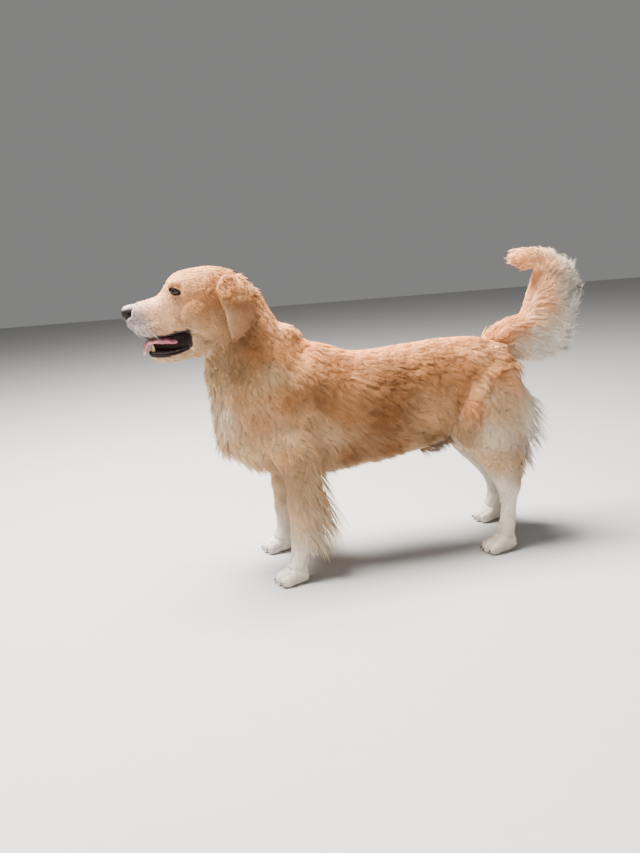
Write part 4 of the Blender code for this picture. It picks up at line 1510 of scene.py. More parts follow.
@dataclass
class Groom:
    """The coat's numbers at every vertex of the skin, read from the comb chart."""

    chart: Sequence[Comb] = CHART
    sharpness: float = 2.4
    softness: float = 0.008
    tint_sharpness: float = 1.9
    tint_softness: float = 0.022
    settle: float = 0.5
    side_calm: float = 0.65
    locks: tuple[tuple[float, float, int], ...] = ((0.06, 0.022, 7), (0.09, 0.05, 5), (0.04, 0.16, 6))

    def column(self, name: str) -> Array:
        """One number or row of numbers for each line of the chart."""
        return np.array([getattr(comb, name) for comb in self.chart])

    def stand_square(self, places: Array) -> Array:
        """Places as they would be if the right legs stood like the left ones.

        Args:
            places: Places in the working frame.

        Returns:
            The places, with y as the distance from the middle plane.
        """
        square = places.copy()
        right = places[:, 1] > 0
        hind = right & (places[:, 0] > 0.35)
        square[hind, 0] -= STRIDE * ease(0.25, 0.07, places[hind, 2])
        fore = right & (places[:, 0] < 0.2) & (places[:, 2] < 0.35)
        square[fore, 0] += LEAN * ease(0.05, 0.16, places[fore, 2])
        square[:, 1] = np.abs(places[:, 1])
        return square

    def blend(self, places: Array, sharpness: float, softness: float) -> Array:
        """Reads the chart.

        Args:
            places: Places in the working frame.
            sharpness: How quickly a line of the chart fades with distance.
            softness: Distance below which two lines mix.

        Returns:
            The share of each chart line at each place.
        """
        square = self.stand_square(places)
        shares = np.empty((len(places), len(self.chart)))
        for i, spot in enumerate(self.column("at")):
            apart = ((square - spot) ** 2).sum(axis=1) + softness**2
            shares[:, i] = apart**-sharpness
        return shares / shares.sum(axis=1, keepdims=True)

    def apply(self, mesh: Mesh, mouth: "Mouth", eyes: "Eyes", nose: "Nose") -> None:
        """Writes the coat's numbers onto the skin.

        Args:
            mesh: The skin.
            mouth: The mouth, where the skin is bare.
            eyes: The eyes, with bare lids.
            nose: The nose leather, with no hair under it.
        """
        places, normals = corners(mesh), corner_normals(mesh)
        shares = self.blend(places, self.sharpness, self.softness)
        lie = shares @ unit(self.column("lie"))
        lie[:, 1] *= np.where(places[:, 1] < 0, -1, 1)
        reach = shares @ (self.column("reach") / 1000)
        side_on = ease(0.45, 0.9, np.abs(normals[:, 1])) * ease(0.04, 0.07, reach)
        lift = shares @ np.radians(self.column("lift")) * (1 - self.side_calm * side_on)
        tints = np.array([comb.tint.value for comb in self.chart])
        tint = self.blend(places, self.tint_sharpness, self.tint_softness) @ tints
        locks = [depth * ripple(places, length, seed) for depth, length, seed in self.locks]
        sag = -normals * (reach * np.sin(lift) * (self.settle * ease(0.95, 0.45, lift)))[:, None]
        sag[:, 2] -= reach * (shares @ self.column("hang"))
        bare = np.maximum(mouth.bare(places, normals), eyes.bare(places))
        bare = np.maximum(bare, nose.bare(places))
        for name, values in (
            ("lie", self.laid(lie, normals, places)), ("reach", reach), ("lift", lift),
            ("wave", shares @ (self.column("wave") / 1000)), ("tint", tint * (1 + sum(locks))[:, None]),
            ("sag", sag), ("bare", bare), ("speckle", mouth.speckle(places)),
        ):
            write_attribute(mesh, name, values)
        furry = 1 - np.clip(bare * 1.6, 0, 1)
        sole = ease(0.004, 0.009, places[:, 2])
        for fur in Fur:
            share = shares @ np.array([comb.thick * (comb.fur is fur) for comb in self.chart])
            write_attribute(mesh, fur.bed, share * fur.value * furry * sole)

    def laid(self, lie: Array, normals: Array, places: Array) -> Array:
        """The lie of the coat laid on the skin, swept a little to and fro in locks.

        Args:
            lie: The lie from the chart.
            normals: Normals of the skin.
            places: Places on the skin.

        Returns:
            The lie.
        """
        flat = unit(lie - normals * (lie * normals).sum(axis=1, keepdims=True))
        across = np.cross(normals, flat)
        sweep = 0.2 * ripple(places, 0.036, 11) + 0.14 * ripple(places, 0.08, 12)
        face = ease(-0.04, -0.1, places[:, 0]) * ease(0.55, 0.6, places[:, 2])
        back = ease(0.4, 0.9, normals[:, 2])
        sweep *= 1 - 0.75 * np.maximum(face, back)
        return unit(flat * np.cos(sweep)[:, None] + across * np.sin(sweep)[:, None])


# ---- tufts --------------------------------------------------------------------------------------
@dataclass(frozen=True)
class Tuft:
    """A tuft of flat pointed blades that start at the origin and run along +X.

    Its length and the width of a blade are 1, and the tree that plants it sets its size.
    """

    blades: int
    stations: tuple[float, ...]
    spread: float
    shrink: float
    ridge: float = 0.4

    def blade_rows(self, draw: np.random.Generator, index: int) -> tuple[Array, Array, Array]:
        """Middle line and widths of one blade.

        Args:
            draw: Source of the small differences.
            index: Which blade.

        Returns:
            Shares of the length, places of the middle line, and widths.
        """
        t = np.array([*self.stations, 1.0])
        place = index - (self.blades - 1) / 2
        length = 1 - self.shrink * abs(place) * draw.uniform(0.6, 1.4) - draw.uniform(0, 0.08)
        sideways = place * self.spread * (0.35 + 0.65 * t) + draw.uniform(-0.25, 0.25) * t * t
        rise = draw.uniform(-0.1, 0.2) * abs(place) + draw.uniform(-0.3, 0.3) * t
        middle = np.stack([t * length, sideways, rise * np.ones_like(t)], axis=1)
        width = (0.55 + 0.45 * ease(0, 0.25, t)) * (1 - t**2.4) * draw.uniform(0.85, 1.15)
        return t, middle, width

    def build(self, name: str, seed: int) -> Object:
        """One tuft as an object to plant.

        Args:
            name: Name of the object.
            seed: Picks its small differences.

        Returns:
            The object, in no collection yet.
        """
        draw = np.random.default_rng(seed)
        bm = bmesh.new()
        along = bm.verts.layers.float.new("along")
        across = bm.verts.layers.float.new("across")
        for index in range(self.blades):
            t, middle, width = self.blade_rows(draw, index)
            rows = []
            for share, place, wide in zip(t[:-1], middle[:-1], width[:-1]):
                row = []
                for step, height in ((-1, 0.0), (1, 0.0), (0, self.ridge)):
                    vert = bm.verts.new(place + np.array([0, step * wide / 2, height * wide]))
                    vert[along], vert[across] = share, step + 3.0 * index
                    row.append(vert)
                rows.append(row)
            tip = bm.verts.new(middle[-1])
            tip[along], tip[across] = 1.0, 3.0 * index
            bm.faces.new(rows[0])
            for here, after in zip(rows, rows[1:]):
                for i in range(3):
                    j = (i + 1) % 3
                    bm.faces.new((here[i], after[i], after[j], here[j]))
            for i in range(3):
                bm.faces.new((rows[-1][i], tip, rows[-1][(i + 1) % 3]))
        bmesh.ops.recalc_face_normals(bm, faces=bm.faces)
        mesh = mesh_from(bm, name)
        mesh.shade_smooth()
        return bpy.data.objects.new(name, mesh)


TUFTS = {
    Fur.SHORT: Tuft(blades=1, stations=(0.0, 0.5), spread=0.0, shrink=0.0),
    Fur.MEDIUM: Tuft(blades=4, stations=(0.0, 0.34, 0.7), spread=1.75, shrink=0.08),
    Fur.LONG: Tuft(blades=2, stations=(0.0, 0.2, 0.42, 0.64, 0.84), spread=1.8, shrink=0.14),
}
HAIR = {
    Fur.SHORT: TuftFinish("hair_short", painted_root_shade=0.95, spread=0.08),
    Fur.MEDIUM: TuftFinish("hair_medium", painted_root_shade=0.84, spread=0.16),
    Fur.LONG: TuftFinish("hair_long", painted_root_shade=0.96, spread=0.12),
}


@dataclass
class PlantingTree(Bench):
    """Geometry Nodes that plant tufts on the skin by its attributes."""

    name: str = "plant_tufts"
    inputs: dict[str, str] = field(default_factory=dict)
    variants: int = 8
    fleck_fade: float = 0.74
    curl_spacing: float = 22.0
    curl_turn: float = 4.6

    def __post_init__(self) -> None:
        """Makes the empty tree."""
        super().__init__(bpy.data.node_groups.new(self.name, "GeometryNodeTree"))

    def read(self, name: object, kind: str = "FLOAT_VECTOR") -> Socket:
        """An attribute of the mesh or the points."""
        return self.result(self.node("GeometryNodeInputNamedAttribute", {"Name": name}, data_type=kind))

    def number(self, name: object) -> Socket:
        """A number attribute of the mesh or the points."""
        return self.read(name, "FLOAT")

    def store(self, geometry: object, name: str, value: object, kind: str = "FLOAT_VECTOR") -> Socket:
        """Writes an attribute of the points, or one of the face corners if it is flat.

        Args:
            geometry: The geometry.
            name: Name of the attribute.
            value: Its values.
            kind: Kind of its values.

        Returns:
            The geometry with the attribute.
        """
        inputs = {"Geometry": geometry, "Name": name, "Value": value}
        settings = {"data_type": kind, "domain": "CORNER" if kind == "FLOAT2" else "POINT"}
        return self.node("GeometryNodeStoreNamedAttribute", inputs, **settings).outputs["Geometry"]

    def chance(self, low: object, high: object, seed: int, kind: str = "FLOAT") -> Socket:
        """A random value for each point."""
        inputs = {"Min": low, "Max": high, "Seed": seed}
        return self.result(self.node("FunctionNodeRandomValue", inputs, data_type=kind))

    def build(self) -> bpy.types.NodeTree:
        """Makes the tree: scatter, plant, realize, bend, map and finish.

        Returns:
            The tree.
        """
        for name, kind in (
            ("Geometry", "Geometry"), ("Tufts", "Collection"), ("Count Attribute", "String"),
            ("Share", "Float"), ("Seed", "Int"), ("Blade Width", "Float"), ("Unruly", "Float"),
            ("Finish", "Material"),
        ):
            made = self.tree.interface.new_socket(name=name, in_out="INPUT", socket_type="NodeSocket" + kind)
            self.inputs[name] = made.identifier
        self.tree.interface.new_socket(name="Geometry", in_out="OUTPUT", socket_type="NodeSocketGeometry")
        given = self.node("NodeGroupInput").outputs
        mapped = self.mapped(self.bent(self.planted(self.scattered(given), given)))
        coloured = self.node("GeometryNodeSetMaterial", {"Geometry": mapped, "Material": given["Finish"]})
        self.node("NodeGroupOutput", {0: coloured.outputs["Geometry"]})
        return self.tree

    def scattered(self, given: object) -> Socket:
        """Points on the skin that know its normal, their own tone, their root and their colour.

        Args:
            given: The tree's inputs.

        Returns:
            The points.
        """
        density = self.times(self.number(given["Count Attribute"]), given["Share"])
        inputs = {"Mesh": given["Geometry"], "Density": density, "Seed": given["Seed"]}
        scatter = self.node("GeometryNodeDistributePointsOnFaces", inputs, distribute_method="RANDOM")
        points = self.store(scatter.outputs["Points"], "up", scatter.outputs["Normal"])
        points = self.store(points, "tone", self.chance(0.0, 1.0, 1), "FLOAT")
        points = self.store(points, "root", self.node("GeometryNodeInputPosition").outputs[0])
        flecked = self.maths("LESS_THAN", self.chance(0.0, 1.0, 8), self.number("speckle"))
        shade = self.maths("MULTIPLY_ADD", flecked, -self.fleck_fade, 1.0)
        return self.store(points, "tint", self.scaled(self.read("tint"), shade))

    def planted(self, points: object, given: object) -> Socket:
        """Tufts at the points, turned into the lie of the coat, lifted and sized, then realized.

        Args:
            points: The points.
            given: The tree's inputs.

        Returns:
            The tufts.
        """
        up, lie = self.read("up"), self.read("lie")
        away = self.chance((-1.0, -1.0, -1.0), (1.0, 1.0, 1.0), 2, "FLOAT_VECTOR")
        lift = self.times(self.number("lift"), self.chance(0.7, 1.25, 3))
        along = self.scaled(lie, self.maths("COSINE", lift))
        raised = self.vector("ADD", along, self.scaled(up, self.maths("SINE", lift)))
        stray = self.vector("ADD", raised, self.scaled(away, given["Unruly"]))
        axes = {"primary_axis": "X", "secondary_axis": "Z"}
        turned = self.node("FunctionNodeAxesToRotation", {0: stray, 1: up}, **axes)
        reach = self.times(self.number("reach"), self.chance(0.72, 1.18, 4))
        width = self.times(given["Blade Width"], self.chance(0.75, 1.25, 5))
        apart = {"Collection": given["Tufts"], "Separate Children": True, "Reset Children": True}
        plant = self.node("GeometryNodeInstanceOnPoints", {
            "Points": points,
            "Instance": self.node("GeometryNodeCollectionInfo", apart).outputs[0],
            "Pick Instance": True,
            "Instance Index": self.chance(0, self.variants - 1, 6, "INT"),
            "Rotation": turned.outputs[0],
            "Scale": self.joined(reach, width, width),
        })
        return self.node("GeometryNodeRealizeInstances", {0: plant.outputs["Instances"]}).outputs[0]

    def bent(self, geometry: object) -> Socket:
        """The tufts bent by their sag and waved from side to side, in step with their neighbours.

        Args:
            geometry: The tufts.

        Returns:
            The bent tufts.
        """
        along = self.number("along")
        sag = self.scaled(self.read("sag"), self.maths("POWER", along, 2.0))
        across = self.vector("CROSS_PRODUCT", self.read("up"), self.read("lie"))
        phase = self.times(self.noise(self.read("root"), self.curl_spacing, 1.0), 14.0)
        angle = self.maths("ADD", self.times(along, self.curl_turn), phase)
        swing = self.maths("SUBTRACT", self.maths("SINE", angle), self.maths("SINE", phase))
        depth = self.times(swing, self.times(self.number("wave"), along))
        offset = self.vector("ADD", sag, self.scaled(self.vector("NORMALIZE", across), depth))
        return self.node("GeometryNodeSetPosition", {"Geometry": geometry, "Offset": offset}).outputs[0]

    def mapped(self, geometry: object) -> Socket:
        """The bake map: a small patch at the root's place on the skin's unwrap.

        Args:
            geometry: The tufts.

        Returns:
            The mapped tufts.
        """
        across = self.times(self.number("across"), BAKE_PATCH / 8)
        along = self.times(self.number("along"), BAKE_PATCH)
        patch = self.vector("ADD", self.read("root_map"), self.joined(across, along, 0.0))
        return self.store(geometry, BAKE_MAP, patch, "FLOAT2")


KEPT_ATTRIBUTES = {
    "along", "across", "tint", "tone", "up", "position", BAKE_MAP, "sharp_face", "material_index",
}


@dataclass
class CoatPiece:
    """One piece of the coat: a kind of tuft within a part of the body, from low to high along each axis."""

    name: str
    fur: Fur
    slot: str
    seed: int
    width: float
    x: Place = (-1.0, 2.0)
    y: Place = (-1.0, 1.0)
    z: Place = (-1.0, 1.0)
    share: float = 1.0
    unruly: float = 0.06

    def within(self, places: Array) -> Array:
        """Which places the piece covers."""
        low, high = np.array([self.x, self.y, self.z]).T
        return ((places >= low) & (places < high)).all(axis=1)


def coat_pieces() -> list[CoatPiece]:
    """All pieces of the coat, from the face to the tail.

    Returns:
        The pieces, in the order of planting.
    """
    gold, white = "golden_coat", "white_coat"
    leg, halves = (-1.0, 0.5), {"left": (-1.0, 0.0), "right": (0.0, 1.0)}
    pieces = [
        CoatPiece("fur_face", Fur.SHORT, gold, 21, 0.001, x=(-1, -0.1), z=(0.5, 1), share=0.55),
        CoatPiece("fur_poll", Fur.SHORT, "ear_coat", 24, 0.0013, x=(-0.1, 0.05), z=(0.5, 1), share=0.9),
        CoatPiece("fur_legs_fore", Fur.SHORT, white, 22, 0.0013, x=(-1, 0.25), z=leg, share=0.6),
        CoatPiece("fur_legs_hind", Fur.SHORT, white, 23, 0.0013, x=(0.25, 2), z=leg, share=0.6),
    ]
    zones = {"neck": (-1.0, 0.06), "ribs": (0.06, 0.27), "loin": (0.27, 0.48), "rump": (0.48, 2.0)}
    quarters = [(zone, half) for zone in zones for half in halves]
    for seed, (zone, half) in enumerate(quarters, start=31):
        bounds = {"x": zones[zone], "y": halves[half]}
        pieces.append(CoatPiece(f"fur_{zone}_{half}", Fur.MEDIUM, gold, seed, 0.002, **bounds))
    pieces += [
        CoatPiece("feathers_fore", Fur.LONG, "cream_coat", 41, 0.0022, x=(-1, 0.3), share=1.5, unruly=0.03),
        CoatPiece("feathers_hind", Fur.LONG, white, 42, 0.0021, x=(0.3, 2), z=(-1, 0.495), unruly=0.04),
    ]
    for seed, half in enumerate(halves, start=43):
        bounds = {"x": (0.3, 2), "y": halves[half], "z": (0.495, 1)}
        pieces.append(CoatPiece(f"tail_plume_{half}", Fur.LONG, gold, seed, 0.0022, share=1.4, **bounds))
    return pieces


@dataclass
class Coat:
    """All tufts of the dog."""

    skin: Mesh
    planting: PlantingTree = field(default_factory=PlantingTree)

    def tuft_collection(self, fur: Fur, seed: int) -> bpy.types.Collection:
        """A collection of variants of a tuft.

        Args:
            fur: Kind of tuft.
            seed: Picks their small differences.

        Returns:
            The collection.
        """
        name = "tuft_" + fur.name.lower()
        made = bpy.data.collections.new(name)
        for index in range(self.planting.variants):
            made.objects.link(TUFTS[fur].build(f"{name}_{index}", seed + index))
        return made

    def bed(self, piece: CoatPiece) -> Object:
        """The skin with the density of this piece alone.

        Args:
            piece: Which piece.

        Returns:
            A helper object.
        """
        mesh = self.skin.copy()
        numbers = np.empty(len(mesh.vertices), np.float32)
        mesh.attributes[piece.fur.bed].data.foreach_get("value", numbers)
        numbers[~piece.within(corners(mesh))] = 0
        mesh.attributes[piece.fur.bed].data.foreach_set("value", numbers)
        return new_object("bed", mesh)

    def plant(self, piece: CoatPiece, tree: bpy.types.NodeTree, tufts: object, material: Material) -> None:
        """Plants one piece of coat.

        Args:
            piece: Which piece.
            tree: The planting tree.
            tufts: Collection of its tufts.
            material: Its finish.
        """
        helper = self.bed(piece)
        planting = helper.modifiers.new("planting", "NODES")
        planting.node_group = tree
        for name, value in (
            ("Tufts", tufts), ("Count Attribute", piece.fur.bed), ("Share", piece.share),
            ("Seed", piece.seed), ("Blade Width", piece.width), ("Unruly", piece.unruly),
            ("Finish", material),
        ):
            planting[self.planting.inputs[name]] = value
        planted = evaluated_mesh(helper)
        discard(helper)
        tips = corners(planted)
        tips[:, 1] = np.clip(tips[:, 1], -WIDEST, WIDEST)
        tips[:, 2] = np.maximum(tips[:, 2], FLOOR_GAP)
        put_corners(planted, tips)
        for name in [attribute.name for attribute in planted.attributes]:
            if name not in KEPT_ATTRIBUTES and not name.startswith("."):
                planted.attributes.remove(planted.attributes[name])
        finish_piece(piece.name, planted, material)

    def build(self) -> None:
        """Plants all pieces of the coat, and clears the single tufts away."""
        tree = self.planting.build()
        tufts, finishes = {}, {}
        for fur, look in HAIR.items():
            tufts[fur] = self.tuft_collection(fur, 100 * len(tufts))
            finishes[fur] = look.build()
        for piece in coat_pieces():
            self.plant(piece, tree, tufts[piece.fur], finishes[piece.fur])
        for collection in tufts.values():
            for obj in list(collection.objects):
                discard(obj)
            bpy.data.collections.remove(collection)


# ---- mouth --------------------------------------------------------------------------------------
def spline(at: Array, values: Array, wanted: Array) -> Array:
    """Smooth curve through values.

    Args:
        at: Rising places of the values.
        values: The values.
        wanted: Places to read.

    Returns:
        The curve at the wanted places.
    """
    slope = np.gradient(values, at)
    i = np.clip(np.searchsorted(at, wanted, side="right") - 1, 0, len(at) - 2)
    gap = at[i + 1] - at[i]
    return glide((wanted - at[i]) / gap, gap, (values[i], values[i + 1]), (slope[i], slope[i + 1]))


@dataclass(frozen=True)
class Lip:
    """One lip: its edge in side view, its height and thickness, and which way it lies from the edge."""

    line: tuple[Place, ...]
    high: float
    thick: float
    up: float
    taper_from: float

    def rings(self, surface: BVHTree, side: Side) -> list[Array]:
        """Rings of the lip along the side of the muzzle or jaw.

        Args:
            surface: The skin.
            side: Which side.

        Returns:
            The rings.
        """
        knots, s = np.array(self.line), side.value
        share = np.linspace(0, 1, len(knots))
        wanted = np.linspace(0, 1, 56)
        xs, zs = (spline(share, knots[:, i], wanted) for i in range(2))
        turn = turns(12)
        rings = []
        for x, z, t in zip(xs, zs, wanted):
            ray = Vector((float(x), s * 0.2, float(z) + self.up * self.high * 0.5))
            hit = surface.ray_cast(ray, Vector((0, -s, 0)))[0]
            y = abs(hit.y) if hit else 0.02
            frill = 1 + 0.18 * math.sin(t * 70) * ease(0.2, 0.6, t if self.up < 0 else 1 - t)
            taper = 0.12 + 0.88 * float(ease(0, self.taper_from, t) * ease(1, 0.92, t))
            centre = np.array([x, s * (y - 0.2 * self.thick), z + self.up * self.high * 0.5])
            ring = centre + np.outer(np.cos(turn), [0, s * self.thick * frill * taper, 0])
            rings.append(ring + np.outer(np.sin(turn), [0, 0, self.high / 2 * taper]))
        return rings


UPPER_LIP = Lip(
    (
        (-0.306, 0.648), (-0.299, 0.636), (-0.283, 0.625), (-0.263, 0.618), (-0.24, 0.619),
        (-0.217, 0.624), (-0.195, 0.628), (-0.178, 0.628), (-0.169, 0.621), (-0.167, 0.608),
    ),
    high=0.0036, thick=0.0018, up=1.0, taper_from=0.45,
)
LOWER_LIP = Lip(
    (
        (-0.167, 0.61), (-0.171, 0.601), (-0.182, 0.594), (-0.196, 0.59), (-0.215, 0.587),
        (-0.234, 0.586), (-0.252, 0.588), (-0.267, 0.588),
    ),
    high=0.0075, thick=0.0028, up=-1.0, taper_from=0.08,
)


@dataclass
class Mouth:
    """The open mouth: bare flesh inside painted near black as its shade, black lips, tongue and lower teeth.
    """

    upper_lip: Lip = UPPER_LIP
    lower_lip: Lip = LOWER_LIP
    black_edge: tuple[Place, ...] = (
        (-0.275, 0.577), (-0.268, 0.574), (-0.25, 0.5715), (-0.234, 0.5715), (-0.215, 0.574),
        (-0.2, 0.578), (-0.187, 0.583), (-0.175, 0.591), (-0.166, 0.6),
    )
    flecks: float = 0.4
    side_teeth: tuple[Place, ...] = (
        (-0.243, -0.003), (-0.232, -0.0025), (-0.219, -0.0018), (-0.205, -0.001),
    )

    def bare(self, places: Array, normals: Array) -> Array:
        """How bare the skin is.

        Args:
            places: Places on the skin.
            normals: Its normals.

        Returns:
            1 inside the mouth, whose dark flesh is painted shade, and on its black edge.
        """
        x, y, z = places.T
        # inside the mouth and in its gape the bare flesh is painted near black as shade; the black edge is
        # the lips' own colour
        inside = ease(-0.312, -0.306, x) * ease(-0.156, -0.164, x)
        roof = ease(-0.35, -0.75, normals[:, 2]) * ease(0.598, 0.604, z) * ease(0.65, 0.64, z)
        floor = ease(0.35, 0.7, normals[:, 2]) * ease(0.574, 0.58, z) * ease(0.612, 0.604, z)
        width = np.interp(x, [-0.31, -0.25, -0.17], [0.024, 0.034, 0.05])
        lined = inside * np.maximum(roof, floor) * ease(1.06, 0.9, np.abs(y) / width)
        edge = np.interp(x, *np.array(self.black_edge).T)
        black = ease(edge - 0.0012, edge + 0.0012, z) * ease(0.604, 0.598, z)
        black *= ease(-0.276, -0.27, x) * ease(-0.164, -0.17, x)
        top = np.interp(x, *np.array(self.upper_lip.line).T[:, :9])
        gape = ease(-0.306, -0.3, x) * ease(-0.166, -0.17, x)
        gape *= ease(0.0005, -0.0015, z - top) * ease(-0.001, 0.001, z - np.maximum(edge, 0.59))
        return np.maximum(np.maximum(lined, black), gape)

    def speckle(self, places: Array) -> Array:
        """How strongly the muzzle is flecked with the dark roots of the whiskers.

        Args:
            places: Places on the skin.

        Returns:
            The strength.
        """
        x, _, z = places.T
        fade = ease(-0.225, -0.285, x) * ease(0.682, 0.668, z) * ease(0.6, 0.61, z)
        return self.flecks * fade * (0.7 + 0.5 * ripple(places, 0.009, 61))

    def build_lips(self, surface: BVHTree, material: Material) -> None:
        """Upper and lower lips of both sides, as one piece.

        Args:
            surface: The skin.
            material: Their finish.
        """
        bm = bmesh.new()
        for side in Side:
            for lip in (self.upper_lip, self.lower_lip):
                add_rings(bm, lip.rings(surface, side))
        finish_piece("lips", mesh_from(bm, "lips"), material)

    def build_lining(self, material: Material) -> None:
        """Back of the mouth, from the palate to the floor, behind the tongue and the cheeks, as a sheet
        painted near black as the shade in the mouth.

        Args:
            material: Its finish.
        """
        rows = ribs(
            (-252, 634, -252, 588, 8.5, 0, 2.6),
            (-235, 634, -235, 582, 13, 0, 2.6),
            (-205, 638, -205, 580, 20, 0, 2.6),
            (-175, 640, -175, 582, 30, 0, 2.5),
            (-158, 636, -158, 586, 36, 0, 2.4),
        )
        mesh = Loft(rows, start_depth=0.006, end_depth=0.004, ring=48, span=10).mesh("lining")
        places = corners(mesh)
        places[:, 1] += 0.0009 * np.sin(places[:, 2] * 900 + 30 * places[:, 0])
        put_corners(mesh, places)
        finish_piece("mouth_lining", mesh, material)

    def build_tongue(self, material: Material) -> None:
        """Tongue: grooved, lying high in the mouth and rolled over the front teeth.

        Args:
            material: Its finish.
        """
        rows = ribs(
            (-178, 604, -176, 588, 15),
            (-198, 611.5, -196, 594, 19.5),
            (-216, 617, -213, 598, 23),
            (-231, 619.5, -228, 600, 24.3),
            (-246, 619, -245, 602, 23.5),
            (-262, 616.5, -259, 603.5, 21.5),
            (-273.5, 611, -265.5, 601, 20),
            (-280, 600, -271, 595, 19),
            (-282.8, 590, -273.5, 586.5, 16.5),
            (-283.6, 583, -276.2, 581, 12),
        )
        mesh = Loft(rows, start_depth=0.004, end_depth=0.004, ring=40, span=8).mesh("tongue")
        places = corners(mesh)
        normals = corner_normals(mesh)
        centre = np.exp(-((places[:, 1] / 0.0022) ** 2)) * np.clip(normals @ np.array([-0.4, 0, 0.9]), 0, 1)
        edge = ease(0.012, 0.022, np.abs(places[:, 1]))
        curl = 0.0012 * edge * np.sin(places[:, 0] * 300)
        places += -normals * (0.0022 * centre)[:, None]
        places[:, 2] += curl + 0.0005 * ripple(places, 0.012, 31)
        put_corners(mesh, places)
        write_attribute(mesh, "along", ease(-0.17, -0.284, places[:, 0]))
        finish_piece("tongue_soft", mesh, material, ["tongue"])

    def tooth(self, bm: BMesh, foot: Point, tip: Point, wide: float) -> None:
        """Adds one pointed tooth.

        Args:
            bm: Mesh to add to, with a layer for the share of the height.
            foot: Centre of its foot.
            tip: Its tip.
            wide: Radius at the foot.
        """
        start, end = np.array(foot), np.array(tip)
        turn = turns(12)
        rings = []
        for t in np.linspace(0, 0.97, 8):
            radius = wide * (1 - t**1.8) ** 0.7
            centre = start + (end - start) * t + np.array([0.001 * math.sin(math.pi * t), 0, 0])
            rings.append(centre + radius * np.stack([np.cos(turn) * 1.15, np.sin(turn), 0 * turn], axis=1))
        before = len(bm.verts)
        add_rings(bm, rings)
        bm.verts.ensure_lookup_table()
        layer = bm.verts.layers.float["along"]
        for number, vert in enumerate(bm.verts[before:]):
            vert[layer] = (number // 12) / 7

    def build_teeth(self, enamel: Material) -> None:
        """Lower incisors, canines and premolars on their gum.

        Args:
            enamel: Their finish.
        """
        bm = bmesh.new()
        bm.verts.layers.float.new("along")
        for i in range(6):
            across = (i - 2.5) * 0.0037
            front = -0.2645 + 6.0 * across * across
            self.tooth(bm, (front, across, 0.588), (front - 0.0008, across * 1.05, 0.5985), 0.0017)
        for side in Side:
            s = side.value
            self.tooth(bm, (-0.2575, s * 0.0132, 0.586), (-0.26, s * 0.015, 0.6055), 0.0034)
            for x, high in self.side_teeth:
                y = s * (0.0165 + 0.16 * (x + 0.243))
                self.tooth(bm, (x, y, 0.585), (x + 0.0006, y, 0.588 + high), 0.0031)
        mesh = mesh_from(bm, "teeth")
        finish_piece("teeth_lower", mesh, enamel, ["teeth"], smooth_angle=50)


